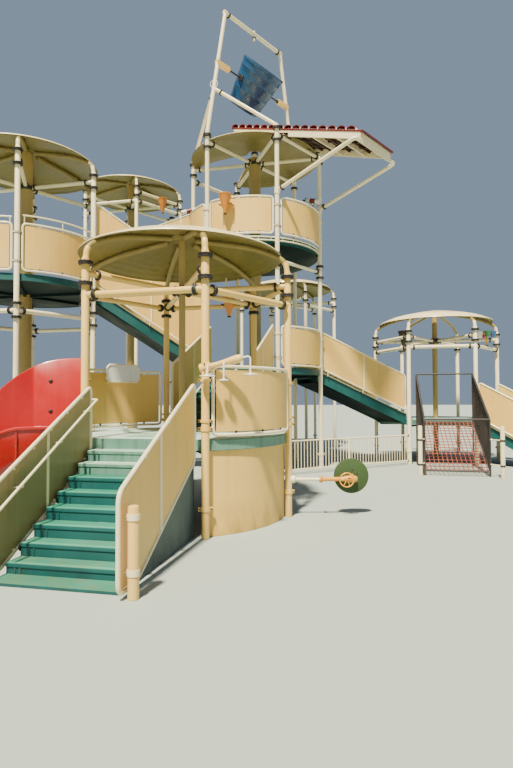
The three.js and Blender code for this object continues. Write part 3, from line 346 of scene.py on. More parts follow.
def finish(name, colour, faded, dirt=DIRT, fading=0.6, streaks=0.2, water_line=0.4, smooth=0.3, rough=0.5,
           bump=0.15, metallic=0.0, coat=0.0, grit=0.0, specular=0.5):
    material = bpy.data.materials.new(name)
    material.use_nodes = True
    tree = material.node_tree
    shader = tree.nodes["Principled BSDF"]
    shader.inputs["Metallic"].default_value = metallic
    shader.inputs["Specular IOR Level"].default_value = specular
    shader.inputs["Coat Weight"].default_value = coat
    shader.inputs["Coat Roughness"].default_value = 0.12
    weather = tree.nodes.new("ShaderNodeGroup")
    weather.node_tree = WEATHER
    for socket, value in (("Colour", srgb(*colour)), ("Faded", srgb(*faded)), ("Dirt", dirt),
                          ("Fading", fading),
                          ("Streaks", streaks), ("Water line", water_line), ("Smooth", smooth),
                          ("Rough", rough)):
        weather.inputs[socket].default_value = value
    height = weather.outputs["Height"]
    seen = weather.outputs["Colour"]
    if grit:
        tips = tree.nodes.new("ShaderNodeGroup")
        tips.node_tree = GRIT
        tips.inputs["Cells per metre"].default_value = grit
        height = combine(tree, "ADD", combine(tree, "MULTIPLY", height, 0.3), tips.outputs["Height"])
        seen = blend_colours(tree, tips.outputs["Scuffed"], seen, srgb(*faded))
    relief = place_node(tree, "ShaderNodeBump", Strength=bump, Distance=0.004)
    tree.links.new(height, relief.inputs["Height"])
    tree.links.new(relief.outputs["Normal"], shader.inputs["Normal"])
    tree.links.new(seen, shader.inputs["Base Color"])
    tree.links.new(weather.outputs["Roughness"], shader.inputs["Roughness"])
    return material


SAND = finish("sand_powder_coat", (230, 186, 98), (236, 202, 124), coat=0.25, streaks=0.12)
CREAM = finish("cream_powder_coat", (242, 226, 182), (246, 234, 202), coat=0.25, streaks=0.12)
YELLOW = finish("yellow_gloss_paint", (216, 140, 16), (226, 164, 44), coat=0.4, smooth=0.2, streaks=0.08)
BLACK = finish("black_satin_paint", (30, 28, 28), (52, 48, 44), dirt=srgb(70, 62, 50), smooth=0.35, rough=0.6)
BOLT = finish("zinc_bolts", (96, 92, 86), (140, 134, 124), metallic=0.8, smooth=0.3, rough=0.55)
SHELL_TOP = finish("canopy_outside", (240, 218, 164), (246, 232, 190), coat=0.3, streaks=0.1, smooth=0.25)
# Dark olive for the downward faces of the canopies and the cover: painted shade under the shell.
SHELL_UNDER_PAINTED_SHADE = finish("canopy_inside_painted_shade", (114, 100, 42), (136, 120, 58), dirt=srgb(90, 78, 34), streaks=0.5,
                     fading=0.9, smooth=0.35, rough=0.6)
TAN = finish("tan_sheet", (228, 184, 94), (234, 196, 114), dirt=srgb(176, 134, 62), streaks=0.2, smooth=0.35)
SKIRT_TAN = finish("tan_skirt_wall", (228, 184, 94), (234, 196, 114), dirt=srgb(168, 130, 60), streaks=0.2,
                   water_line=0.9, smooth=0.4, rough=0.6)
TREAD = finish("tread_tops", (24, 112, 92), (50, 136, 114), streaks=0.0, smooth=0.5, rough=0.8, grit=55.0,
               bump=0.5)
TEAL = finish("teal_moulding", (6, 74, 74), (12, 90, 88), dirt=DARK_DIRT, streaks=0.25, smooth=0.4, rough=0.7)
# Near black teal for undersides, struts and soffits: painted shade under the decks and flights.
DEEP_TEAL_PAINTED_SHADE = finish("deck_underside_painted_shade", (6, 26, 26), (10, 36, 36), dirt=DARK_DIRT, streaks=0.6, smooth=0.6,
                   rough=0.8,
                   specular=0.15)
PALE_DECK = finish("pale_green_deck", (172, 200, 184), (196, 214, 202), streaks=0.0, smooth=0.4, rough=0.7,
                   grit=55.0, bump=0.4)
RED = finish("red_slide_gel_coat", (168, 10, 8), (182, 28, 22), dirt=srgb(204, 88, 70), streaks=0.1,
             coat=0.5, smooth=0.18, rough=0.4, bump=0.08)
BLUE = finish("blue_bucket_plastic", (10, 54, 92), (18, 74, 116), dirt=srgb(12, 36, 56), fading=0.5,
              streaks=0.15, coat=0.3, smooth=0.22, rough=0.45)
ORANGE = finish("orange_plastic", (204, 118, 4), (214, 138, 20), dirt=srgb(120, 66, 20), coat=0.3,
                smooth=0.25)
PUMP_WHITE = finish("white_plastic", (232, 228, 222), (240, 238, 234), coat=0.4, smooth=0.2)
BROWN_BAND = finish("red_brown_band", (110, 36, 30), (134, 58, 48), smooth=0.3)
MAT_GREEN = finish("dull_green_mat", (44, 66, 30), (60, 84, 42), dirt=srgb(28, 42, 20), streaks=0.2,
                   smooth=0.6,
                   rough=0.85, bump=0.4)
TILE = finish("dark_red_tiles", (100, 24, 24), (122, 40, 36), dirt=srgb(52, 20, 22), streaks=0.3, smooth=0.35,
              rough=0.6, bump=0.3)
RAFTER = finish("dark_roof_underside", (58, 36, 32), (80, 54, 46), dirt=DARK_DIRT, smooth=0.5, rough=0.8)
# A darker olive coat for the centre columns: painted shade from the canopies above them.
COLUMN_PAINTED_SHADE = finish("column_coat_painted_shade", (160, 136, 78), (178, 154, 96), streaks=0.3)
# A darker olive coat for the ribs under a canopy: painted shade.
RIB_PAINTED_SHADE = finish("shaded_rib_coat", (140, 122, 66), (160, 142, 84), streaks=0.4, rough=0.6)
print("finishes", len(bpy.data.materials))

# %% [markdown]
# Making meshes. Nearly everything here is one of four things: a tube along a line, a turned shape, a board
# cut from an outline, or a flat or curved sheet. One small class collects such surfaces and makes them one
# object. It keeps a finish for each face, so a deck can be pale on top and dark below. Primitives joined in
# edit mode would do the same by hand.

# %% A class that collects closed surfaces into one piece
class Piece:
    def __init__(self, name):
        self.name = name
        self.points = []
        self.faces = []
        self.face_finish = []
        self.finishes = []

    def number(self, material):
        if material not in self.finishes:
            self.finishes.append(material)
        return self.finishes.index(material)

    def add(self, points, faces, material, top=None, under=None):
        """One closed surface, turned outside out; faces that look up or down may have their own finish."""
        points = np.array(points, float)
        start = len(self.points)
        self.points.extend(points.tolist())
        corners = [points[list(face)] for face in faces]
        normals = [sum(np.cross(a - c[0], b - c[0]) for a, b in zip(c[1:], c[2:])) for c in corners]
        volume = sum(np.dot(normal, c[0] - points[0]) for normal, c in zip(normals, corners))
        way = 1 if volume > 0 else -1
        for face, normal in zip(faces, normals):
            slope = way * normal[2] / max(1e-12, np.linalg.norm(normal))
            chosen = top if top and slope > 0.5 else under if under and slope < -0.2 else material
            self.faces.append([start + i for i in face][::way])
            self.face_finish.append(self.number(chosen))

    def make(self, body, slot, stands_for, sharp=38, bevel=0.0):
        """The finished object, on its body; edges steeper than sharp degrees stay crisp. The slot is not used.
        """
        mesh = bpy.data.meshes.new(self.name)
        mesh.from_pydata(self.points, [], self.faces)
        for material in self.finishes:
            mesh.materials.append(material)
        mesh.polygons.foreach_set("material_index", self.face_finish)
        mesh.polygons.foreach_set("use_smooth", [True] * len(self.faces))
        mesh.validate()
        mesh.set_sharp_from_angle(angle=math.radians(sharp))
        made = bpy.data.objects.new(self.name, mesh)
        bpy.context.scene.collection.objects.link(made)
        if bevel:
            rounding = made.modifiers.new("eased edges", "BEVEL")
            rounding.width = bevel
            rounding.segments = 2
            rounding.angle_limit = math.radians(40)
        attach(made, body)
        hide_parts(*stands_for)
        return made


def unit(v):
    return np.array(v, float) / np.linalg.norm(v)


def side_axes(w):
    """Two directions at right angles to a direction and to each other."""
    helper = np.array([1.0, 0, 0]) if abs(w[0]) < 0.9 else np.array([0, 1.0, 0])
    u = unit(np.cross(helper, w))
    return u, np.cross(w, u)


def skin(piece, rings, material, closed=False, **sides):
    """Rings of points joined in order into one closed surface."""
    size = len(rings[0])
    count = len(rings)
    faces = []
    for i in range(count if closed else count - 1):
        here, there = i * size, (i + 1) % count * size
        for k in range(size):
            l = (k + 1) % size
            faces.append((here + k, here + l, there + l, there + k))
    if not closed:
        faces.append(tuple(reversed(range(size))))
        faces.append(tuple(range((count - 1) * size, count * size)))
    piece.add([p for ring in rings for p in ring], faces, material, **sides)


def tube(piece, run, radius, material, sides=18, closed=False):
    """A round tube along a run of points; radius may be one number or one for each point."""
    run = [np.array(p, float) for p in run]
    count = len(run)
    radii = [radius] * count if np.isscalar(radius) else radius
    legs = [unit(run[(i + 1) % count] - run[i]) for i in range(count if closed else count - 1)]
    first = legs[-1] if closed else legs[0]
    helper = np.array([0, 0, 1.0]) if abs(first[2]) < 0.9 else np.array([1.0, 0, 0])
    u = unit(np.cross(helper, first))
    rings = []
    for i, p in enumerate(run):
        incoming = legs[i - 1] if (i or closed) else first
        outgoing = legs[i] if (closed or i < count - 1) else incoming
        axis = unit(incoming + outgoing)
        u = unit(u - axis * np.dot(u, axis))
        v = np.cross(axis, u)
        stretch = 1 / max(0.5, float(np.dot(axis, incoming)))
        bend = outgoing - incoming
        inward = unit(bend) if np.linalg.norm(bend) > 1e-6 else u
        ring = []
        for k in range(sides):
            a = 2 * math.pi * k / sides
            offset = radii[i] * (math.cos(a) * u + math.sin(a) * v)
            offset = offset + inward * float(np.dot(offset, inward)) * (stretch - 1)
            ring.append(p + offset)
        rings.append(ring)
    if closed:
        shift = min(range(sides), key=lambda k: np.linalg.norm(rings[-1][k] - rings[0][0]))
        turned_to = rings[-1][shift:] + rings[-1][:shift]
        if np.linalg.norm(turned_to[1] - rings[0][1]) > np.linalg.norm(turned_to[-1] - rings[0][1]):
            turned_to = [rings[-1][shift]] + [rings[-1][(shift - k) % sides] for k in range(1, sides)]
        rings[-1] = turned_to
    skin(piece, rings, material, closed)


EASE_STEPS = 6


def eased(run, reach, closed=False):
    """The same run with its corners rounded by curves that start a reach before each."""
    run = [np.array(p, float) for p in run]
    count = len(run)
    out = []
    for i, p in enumerate(run):
        if not closed and i in (0, count - 1):
            out.append(p)
            continue
        before, after = run[i - 1], run[(i + 1) % count]
        a = p + unit(before - p) * min(reach, np.linalg.norm(before - p) * 0.48)
        b = p + unit(after - p) * min(reach, np.linalg.norm(after - p) * 0.48)
        for k in range(EASE_STEPS + 1):
            w = k / EASE_STEPS
            out.append(a * (1 - w) ** 2 + p * 2 * w * (1 - w) + b * w * w)
    return out


def turned(piece, profile, centre, material, segments=32, axis=(0, 0, 1), **sides):
    """A lathe shape from (radius, height) points that start and end on the axis or close on themselves."""
    w = unit(axis)
    u, v = side_axes(w)
    centre = np.array(centre, float)
    points, rows = [], []
    for r, h in profile:
        if r <= 1e-9:
            rows.append([len(points)])
            points.append(centre + w * h)
            continue
        rows.append(list(range(len(points), len(points) + segments)))
        for k in range(segments):
            a = 2 * math.pi * k / segments
            points.append(centre + w * h + r * (math.cos(a) * u + math.sin(a) * v))
    if len(rows[0]) > 1:
        rows.append(rows[0])
    faces = []
    for a, b in zip(rows, rows[1:]):
        for k in range(segments):
            l = (k + 1) % segments
            if len(a) == 1:
                faces.append((a[0], b[l], b[k]))
            elif len(b) == 1:
                faces.append((a[k], a[l], b[0]))
            else:
                faces.append((a[k], a[l], b[l], b[k]))
    piece.add(points, faces, material, **sides)


def board(piece, place, outline, left, right, material, **sides):
    """An outline of (s, z) points, made as thick as from left to right across its plane."""
    skin(piece, [[place(s, t, z) for s, z in outline] for t in (left, right)], material, **sides)


def rectangle(left, right, low, high):
    return [(left, low), (right, low), (right, high), (left, high)]


def slab(piece, plan, low, high, material, **sides):
    """An outline in plan, raised from one height to another."""
    skin(piece, [[(p[0], p[1], z) for p in plan] for z in (low, high)], material, **sides)


def disc(piece, centre, axis, radius, half, material, ease=0.003, segments=28):
    """A round plate with eased edges, centred on a point."""
    profile = [(0, -half), (radius - ease, -half), (radius, ease - half), (radius, half - ease),
               (radius - ease, half), (0, half)]
    turned(piece, profile, centre, material, segments, axis)


print("makers ready: tube, turned, board, disc")

# %% [markdown]
# Bolted flanges. Each post is a steel tube that was made in lengths, and where two lengths meet there is a
# pair of black plates with a ring of bolts through them. They show all over the structure, so one function
# makes the pair at any point of any tube: two eased discs with a thin joint between them, and hexagon heads
# on both sides.

# %% Flange pairs
def flange_pair(piece, at, axis=(0, 0, 1), radius=FLANGE_RADIUS, half=0.026, bolts=8, paint=BLACK):
    w = unit(axis)
    at = np.array(at, float)
    for offset in (w * half * 0.55, -(w * half * 0.55)):
        disc(piece, at + offset, w, radius, half * 0.43, paint, segments=24)
    u, v = side_axes(w)
    for k in range(bolts):
        a = 2 * math.pi * (k + 0.5) / bolts
        foot = at + radius * 0.8 * (math.cos(a) * u + math.sin(a) * v)
        tube(piece, [foot - w * (half + 0.009), foot + w * (half + 0.009)], radius * 0.1, BOLT, sides=6)


COLLAR = POST + 0.012  # outer radius
LUG_AZIMUTHS = (-160, 20)


def clamp_collar(piece, at, paint, height=0.06):
    """A split collar round a post, closed by two lugs and their bolts."""
    at = np.array(at, float)
    turned(piece, rectangle(POST - 0.002, COLLAR, -height / 2, height / 2), at, paint, 24)
    for azimuth in LUG_AZIMUTHS:
        lug = side_view(at[:2], azimuth)
        plate = rectangle(POST, COLLAR + 0.03, at[2] - height * 0.45, at[2] + height * 0.45)
        board(piece, lug, plate, -0.012, 0.012, paint)
        way = lug(0, 1, 0) - lug(0, 0, 0)
        disc(piece, lug(COLLAR + 0.016, 0, at[2]), way, 0.013, 0.024, BLACK, segments=6)


print("collar", round(2 * COLLAR, 3), "m across, lugs at", LUG_AZIMUTHS)

# %% [markdown]
# Tower frames. Six posts stand in a ring round a centre column. Radial tubes tie them together just under the
# heads, curved ribs rise from the heads to carry the canopy, and a few straight header beams run from post to
# post. All are the same powder-coated tube; the front tower's is a warmer yellow than the others. The centre
# column and the ribs past each elbow take a darker olive coat, which is painted shade from the canopy above.
# A curve with a bevel could draw each of them; a mesh tube is closed at its ends and can change its radius
# from point to point, as a post does at its head.

# %% Tower frames
RIB_LINE = [(1.83, 0.06), (1.785, 0.24), (1.6, 0.37), (1.15, 0.535), (0.26, 0.708)]
RADIAL_DROP = FLANGE_DROP / 2
HEAD_TUBE = 0.045
HEADER_TUBE = 0.05
DOME_HUB = 0.72  # how far the centre post of a domed tower goes on above the flanges


def smooth_line(points, steps=6):
    """A curve through all the points, as (radius, height) pairs."""
    at = [np.array(p, float) for p in points]
    at = [2 * at[0] - at[1]] + at + [2 * at[-1] - at[-2]]
    out = []
    for a, b, c, d in zip(at, at[1:], at[2:], at[3:]):
        for k in range(steps):
            w = k / steps
            cubic = (3 * b - a - 3 * c + d) * w ** 3
            out.append(0.5 * (2 * b + (c - a) * w + (2 * a - 5 * b + 4 * c - d) * w * w + cubic))
    return [tuple(p) for p in out + [at[-2]]]


def beam(piece, tower, n, z, radius, paint):
    """A beam from post to post on one side of a tower, bolted up near each end."""
    a, b = post(tower, n, z), post(tower, n + 1, z)
    tube(piece, [a, b], radius, paint)
    for end, way in ((a, b - a), (b, a - b)):
        flange_pair(piece, end + unit(way) * 0.15, way, radius + 0.034, bolts=6)


def tower_frame(name, domed):
    tower = TOWERS[name]
    top, paint = tower["flange"], tower["paint"]
    piece = Piece(name + "_tower_frame")
    spool = top - RADIAL_DROP
    x, y = tower["centre"]
    # The centre column takes the darker olive coat: painted shade.
    tube(piece, [(x, y, 0), (x, y, top + (DOME_HUB if domed else 0.0))], tower["column"], COLUMN_PAINTED_SHADE, 32)
    for n in range(6):
        head = top + (RIB_LINE[0][1] if domed else 0)
        run = [post(tower, n, 0), post(tower, n, head)]
        if domed:
            rib = smooth_line(RIB_LINE)
            run += [around(tower["centre"], post_angle(n), r, top + z) for r, z in rib[1:]]
        elbow = min(len(run), 8)
        tube(piece, run[:elbow], [POST] * 2 + [HEAD_TUBE] * (elbow - 2), paint, 20)
        # Past the elbow the rib takes the darker olive coat: painted shade under the canopy.
        if elbow < len(run):
            tube(piece, run[elbow - 1:], HEAD_TUBE, RIB_PAINTED_SHADE)
        flange_pair(piece, post(tower, n, top))
        flange_pair(piece, post(tower, n, top - FLANGE_DROP))
        tube(piece, [(x, y, spool), post(tower, n, spool)], HEAD_TUBE, paint)
        outward = polar(post_angle(n), 1)
        for reach in (tower["column"] + 0.09, HEX - 0.2):
            at = around(tower["centre"], post_angle(n), reach, spool)
            flange_pair(piece, at, (*outward, 0), HEAD_TUBE + 0.034, 0.016, 6)
    hub = [(0, 0.05), (0.16, 0.05), (0.2, 0.02), (0.2, -0.02), (0.16, -0.05), (0, -0.05)]
    turned(piece, hub, (x, y, spool), BLACK, 24)
    for n in tower["headers"]:
        beam(piece, tower, n, top - HEADER_DROP, HEADER_TUBE, paint)
    for n in tower["backs"]:
        beam(piece, tower, n, spool, HEAD_TUBE - 0.001, paint)
    if "low" in tower:
        for n in range(6):
            beam(piece, tower, n, tower["low"], HEADER_TUBE, paint)
            for z in (tower["low"] - 0.15, tower["low"] + 0.15):
                flange_pair(piece, post(tower, n, z))
    return piece


for name, tower in TOWERS.items():
    tower["paint"] = SAND if name == "front" else CREAM
frames = {name: tower_frame(name, domed=name != "tall") for name in TOWERS}
print("frame faces", {name: len(piece.faces) for name, piece in frames.items()})

# %% [markdown]
# Cone buckets. Three of the beams, and later the front rail of the tall tower, each hold a hollow cone that
# fills and tips. It swings on a pin between the two arms of a small yoke, so the yoke belongs to the
# structure and the cone rides on its own body. The front one has a hoop of tube over it. A cone primitive
# would be solid and sharp, so a turned profile gives the wall, the lip and the blunt tip.

# %% Cones and their yokes
CONE_RIM, CONE_DEPTH, CONE_MOUTH, CONE_TIP = 0.24, 0.49, 0.16, 0.028
CONE_ASIDE = 0.24  # from the middle of the beam to the pin


def cone_bucket(name, pivot, azimuth, aside, carrier, shell=ORANGE):
    """A cone on its own body, and its pin's two arms on the piece that carries it."""
    place = side_view(pivot[:2], azimuth)
    outward = math.copysign(1, aside)
    z = pivot[2]
    for side in (-1, 1):
        reach = side * 0.156
        tube(carrier, [place(reach, outward * 0.022, z), place(reach, -aside - outward * 0.01, z)], 0.009,
             BLACK, 10)
        disc(carrier, place(reach, 0, z), (*polar(azimuth, 1), 0), 0.02, 0.009, BLACK)
    foot = CONE_RIM - CONE_DEPTH
    lip = [(CONE_MOUTH, CONE_RIM - 0.024), (CONE_MOUTH + 0.006, CONE_RIM - 0.018),
           (CONE_MOUTH + 0.006, CONE_RIM - 0.005),
           (CONE_MOUTH, CONE_RIM), (CONE_MOUTH - 0.012, CONE_RIM)]
    inside = [(CONE_TIP - 0.012, foot + 0.03), (0, foot + 0.03)]
    rings = [(CONE_TIP + (CONE_MOUTH - CONE_TIP) * k / 8,
              foot + (CONE_DEPTH - 0.024) * k / 8) for k in range(8)]
    piece = Piece(name + "_cone_bucket")
    turned(piece, [(0, foot)] + rings + lip + inside, (*pivot[:2], z), shell, 36)
    for side in (-1, 1):
        tube(piece, [place(side * 0.086, 0, z), place(side * 0.147, 0, z)], 0.01, BLACK, 12)
    disc(piece, (*pivot[:2], z + foot + 0.004), (0, 0, 1), CONE_TIP + 0.01, 0.012, BLACK)
    slot = "orange_plastic" if shell == ORANGE else "black_plastic"
    piece.make(name + "_cup", slot, [name + "_cone"])


def beside_beam(name, edge, share, drop, aside):
    tower = TOWERS[name]
    z = tower["flange"] - drop
    azimuth = edge_angle(edge) + 90
    return side_view(post(tower, edge, z)[:2], azimuth)(HEX * share, aside, z), azimuth


# the side of the tower, the share of the beam's length, the beam's drop, the cone's offset, its colour
CONES = {
    "front": (2, 0.24, RADIAL_DROP, CONE_ASIDE, ORANGE),
    "second": (0, 0.48, HEADER_DROP, -CONE_ASIDE, ORANGE),
    "right": (4, 0.66, RADIAL_DROP, CONE_ASIDE, BLACK),
}
for name, (edge, share, drop, aside, shell) in CONES.items():
    cone_at, cone_azimuth = beside_beam(name, edge, share, drop, aside)
    cone_bucket(name, cone_at, cone_azimuth, aside, frames[name], shell)
    if name == "front":
        hoop_place = side_view(cone_at[:2], cone_azimuth)
        corners = ((-0.125, 0), (-0.125, 0.62), (0.125, 0.62), (0.125, 0))
        hoop = [hoop_place(s, -CONE_ASIDE, cone_at[2] + z) for s, z in corners]
        tube(frames[name], eased(hoop, 0.09), 0.013, CREAM, 12)
print("cone mouth", 2 * CONE_MOUTH, "m across, depth", CONE_DEPTH)

# %% [markdown]
# Canopies. Each is a round shell pressed from sheet, with shallow rings in it that keep it stiff, a thick
# rolled rim, and an underside painted dark olive as painted shade, since it stays in the canopy's shadow. The
# profile follows the ribs below it at a small distance, which a piece cut from a sphere would not.

# %% Canopies
CANOPY_GAP = 0.0455
CANOPY_THICK = 0.03
RIPPLE_PITCH = 0.15
RIPPLE = 0.006


def outside(profile, distance):
    """The line at a distance outside a profile of (radius, height) points."""
    at = [np.array(p) for p in profile]
    out = []
    for i, p in enumerate(at):
        before = at[max(0, i - 1)]
        after = at[min(len(at) - 1, i + 1)]
        way = unit(after - before)
        out.append(p + distance * np.array([way[1], -way[0]]))
    return out


def rippled(line, height):
    return [(r, z + height * math.cos(2 * math.pi * r / RIPPLE_PITCH)) for r, z in line]


def canopy_section():
    """The ribs' line where a canopy lies on it, and both faces and the rim of the shell over it."""
    line = smooth_line(RIB_LINE, 10)[18:]
    under = rippled(outside(line, CANOPY_GAP + RIPPLE), RIPPLE)
    over = rippled(outside(line, CANOPY_GAP + CANOPY_THICK), RIPPLE)
    r, z = over[0]
    return line, under, over, [(r + 0.012, z - 0.004), (r + 0.02, z - 0.022), (r + 0.008, z - 0.04)]


def canopy_shell(name):
    tower = TOWERS[name]
    piece = Piece(name + "_canopy_shell")
    line, under, over, rim = canopy_section()
    centre = (*tower["centre"], tower["flange"])
    # Faces of the shell and its cap that look down take the dark olive finish, which is painted shade.
    turned(piece, under + over[::-1] + rim, centre, SHELL_TOP, 96, under=SHELL_UNDER_PAINTED_SHADE)
    top = over[-1][1]
    cap = [(0, top - 0.06), (0.24, top - 0.05), (0.3, top - 0.01), (0.28, top + 0.012), (0, top + 0.02)]
    turned(piece, cap, centre, SHELL_TOP, 48, under=SHELL_UNDER_PAINTED_SHADE)
    for n in range(6):
        for r, z in line[4::9]:
            at = around(tower["centre"], post_angle(n), r, tower["flange"] + z + 0.02)
            for side in (-1, 1):
                a = np.array([*polar(post_angle(n) + 90, 0.06 * side), 0])
                disc(piece, at + a + np.array([0, 0, 0.024]), (0, 0, 1), 0.014, 0.02, BOLT, segments=10)
    return piece


for name in ("front", "left", "second", "far"):
    canopy_shell(name).make("structure", "canopy_plastic", [name + "_canopy"])

# %% [markdown]
# The right tower has a half canopy: it covers only the bays that face the pool. A whole canopy could be cut
# with a Boolean, but the same profile swept through part of a circle and closed at both ends has a clean edge
# at once.

# %% Half canopy of the right tower
def swept_arc(piece, profile, centre, start, end, steps, material, **sides):
    """A closed profile of (radius, height) points, anticlockwise, carried round part of a circle."""
    angles = [start + (end - start) * k / steps for k in range(steps + 1)]
    rings = [[around(centre, a, r, centre[2] + z) for r, z in profile] for a in angles]
    skin(piece, rings, material, **sides)


HALF_FROM, HALF_TO = 178.6, 361.4  # degrees, from one post to the opposite one and a little beyond
right_tower = TOWERS["right"]
_, under, over, rim = canopy_section()
half_canopy = Piece("right_half_canopy")
# The downward faces take the dark olive finish: painted shade under the half canopy.
swept_arc(half_canopy, (under + over[::-1] + rim)[::-1], (*right_tower["centre"], right_tower["flange"]),
          HALF_FROM, HALF_TO, 54, SHELL_TOP, under=SHELL_UNDER_PAINTED_SHADE)
half_canopy.make("structure", "canopy_plastic", ["right_canopy"])
print("half canopy covers", round(HALF_TO - HALF_FROM, 1), "degrees")

# %% [markdown]
# The cover of the tall tower is different: a shallow dish laid on the radial tubes, with one sector left open
# so the falling water gets through, and with room for the struts of the tiled roof. The same sweep makes it,
# from a flatter profile.

# %% Dished cover of the tall tower
COVER_LINE = [(1.762, 0), (1.25, 0.15), (0.65, 0.23), (0.2, 0.25)]
COVER_RIM = [(1.775, 0.026), (1.782, 0.014), (1.775, 0.0)]
tall_tower = TOWERS["tall"]
tall_centre = tall_tower["centre"]
radial_top = tall_tower["flange"] - RADIAL_DROP + HEAD_TUBE
under = rippled(smooth_line(COVER_LINE, 10), 0.004)
over = [(r, z + 0.028) for r, z in under]
cover = Piece("tall_dished_cover")
# The downward faces take the dark olive finish: painted shade under the cover.
swept_arc(cover, (under + over[::-1] + COVER_RIM)[::-1], (*tall_centre, radial_top + 0.0005),
          post_angle(4) - 1, post_angle(3) + 361, 72, SHELL_TOP, under=SHELL_UNDER_PAINTED_SHADE)
cover.make("structure", "canopy_plastic", ["tall_canopy"])
print("cover seat", round(radial_top, 3))

# %% [markdown]
# Decks. A deck is a moulded hexagon with round sides, straight only where a stair meets it. Six grit-topped
# plates lie on it with narrow seams between them, and a steel edge tube runs round under the lip. The seams
# could be lines in the finish, but real gaps stay sharp from near by.

# %% Decks
DECK_PLATE = 0.014  # thickness of the grit-topped plates
DECK_SEAM = 0.005  # from the edge of a plate to the middle of the seam
ROUND_STEPS = 12  # chords of a round side


def deck_plan(tower, straight, radius):
    plan = []
    for n in range(6):
        steps = 1 if n in straight else ROUND_STEPS
        plan += [around(tower["centre"], post_angle(n) + 60 * k / steps, radius, 0) for k in range(steps)]
    return plan


def deck(name, top, straight, edge_paint, surface):
    tower = TOWERS[name]
    centre, column = tower["centre"], tower["column"]
    piece = Piece(name + "_deck_" + str(int(top * 100)))
    low = top - DECK_THICK
    # The deck's downward faces take the near black teal: painted shade.
    slab(piece, deck_plan(tower, straight, DECK_RADIUS), low, top - DECK_PLATE, edge_paint, under=DEEP_TEAL_PAINTED_SHADE)
    lip = [(*p[:2], low + 0.004) for p in deck_plan(tower, straight, DECK_RADIUS - 0.012)]
    tube(piece, lip, 0.014, edge_paint, 8, closed=True)
    inner, outer = column + 0.03, DECK_RADIUS - 0.012
    gap, trim = math.degrees(DECK_SEAM / inner), math.degrees(DECK_SEAM / outer)
    for n in range(6):
        steps = 1 if n in straight else ROUND_STEPS
        a0, a1 = post_angle(n), post_angle(n + 1)
        near = [around(centre, a, inner, 0) for a in (a1 - gap, a0 + gap)]
        rim = [around(centre, a0 + trim + (60 - 2 * trim) * k / steps, outer, 0) for k in range(steps + 1)]
        slab(piece, near + rim, top - DECK_PLATE, top, edge_paint, top=surface)
    for n in range(6):
        # The struts under the deck are near black teal: painted shade.
        strut = [(column, low - 0.06), (1.7, low - 0.06), (1.76, low), (column, low)]
        board(piece, side_view(centre, post_angle(n)), strut, -0.03, 0.03, DEEP_TEAL_PAINTED_SHADE)
    return piece


PALE_EDGE = finish("pale_deck_edge", (84, 128, 112), (124, 160, 142), dirt=srgb(40, 62, 56), streaks=0.5,
                   smooth=0.4,
                   rough=0.7)
front_deck = deck("front", FRONT_DECK, (5, 2, 4), PALE_EDGE, PALE_DECK)
PAD_GREEN = finish("deck_pads", (120, 164, 146), (150, 186, 168), streaks=0.0, smooth=0.5, rough=0.8,
                   grit=70.0, bump=0.5)
PAD_HALF = 0.22
PAD_LIFT = 0.004
front_centre = TOWERS["front"]["centre"]
for azimuth in (edge_angle(5) - 16, edge_angle(5) + 18):
    at = side_view(around(front_centre, azimuth, 1.05, 0)[:2], 90)
    corners = ((PAD_HALF, -PAD_HALF), (PAD_HALF, PAD_HALF), (-PAD_HALF, PAD_HALF), (-PAD_HALF, -PAD_HALF))
    pad = [at(s, t, 0)[:2] for s, t in corners]
    slab(front_deck, pad, FRONT_DECK - PAD_LIFT, FRONT_DECK + PAD_LIFT, PAD_GREEN)
front_deck.make("structure", "pale_green_deck", ["front_deck"])
deck("right", RIGHT_DECK, (4, 5, 0), PALE_EDGE, PALE_DECK).make("structure", "pale_green_deck",
                                                                ["right_deck"])
deck("tall", MID_DECK, (5, 4, 1, 2), TEAL, TREAD).make("structure", "teal_deck", ["tall_mid_deck"])
deck("left", LEFT_DECK, (1,), TEAL, TREAD).make("structure", "teal_deck", ["left_deck"])

# %% [markdown]
# The upper deck of the tall tower hangs over the pool, so its underside is closed by a bulging teal shell
# whose downward faces are painted near black as painted shade, with two pale rings of tube round the rim to
# protect it. A turned bowl and two closed tubes make them.

# %% Upper deck of the tall tower
upper = deck("tall", UPPER_DECK, (), TEAL, TREAD)
bowl = [(0, -0.155), (1.74, -0.155), (1.74, -0.19), (1.6, -0.25), (1.2, -0.31), (0.6, -0.345), (0, -0.35)]
# The bowl's downward faces take the near black teal: painted shade.
turned(upper, bowl, (*tall_centre, UPPER_DECK), TEAL, 72, under=DEEP_TEAL_PAINTED_SHADE)
RUB_RING, RUB_DROPS = 1.808, (0.11, 0.03)
for drop in RUB_DROPS:
    ring = [around(tall_centre, 5 * k, RUB_RING, UPPER_DECK - drop) for k in range(72)]
    tube(upper, ring, 0.017, CREAM, 12, closed=True)
for k in range(36):
    foot = around(tall_centre, 10 * k + 5, RUB_RING, UPPER_DECK - RUB_DROPS[0])
    tube(upper, [foot, foot + np.array([0, 0, 0.08])], 0.007, CREAM, 6)
upper.make("structure", "teal_deck", ["tall_upper_deck"])
print("upper deck faces", len(upper.faces))

# %% [markdown]
# Rail panels. Between two posts stands a round-cornered frame of white tube that follows the tower's curve. A
# tan sheet is held inside it by small dark clips, and short stubs with collars tie the frame to the posts. A
# flat panel could be bent by a modifier; here every point is put on the tower's circle straight away, so the
# stubs meet it exactly.

# %% Curved rail panels
BAY_INSET, BAY_CORNER, SHEET_INSET = 0.11, 0.09, 0.045
BAY_WIDTH = math.radians(60) * HEX - 2 * BAY_INSET
BAY_CLIPS = 3
LOOP_STEPS, CORNER_STEPS = 10, 5
SHEET_HALF = 0.005


def arc_degrees(length):
    return math.degrees(length / HEX)


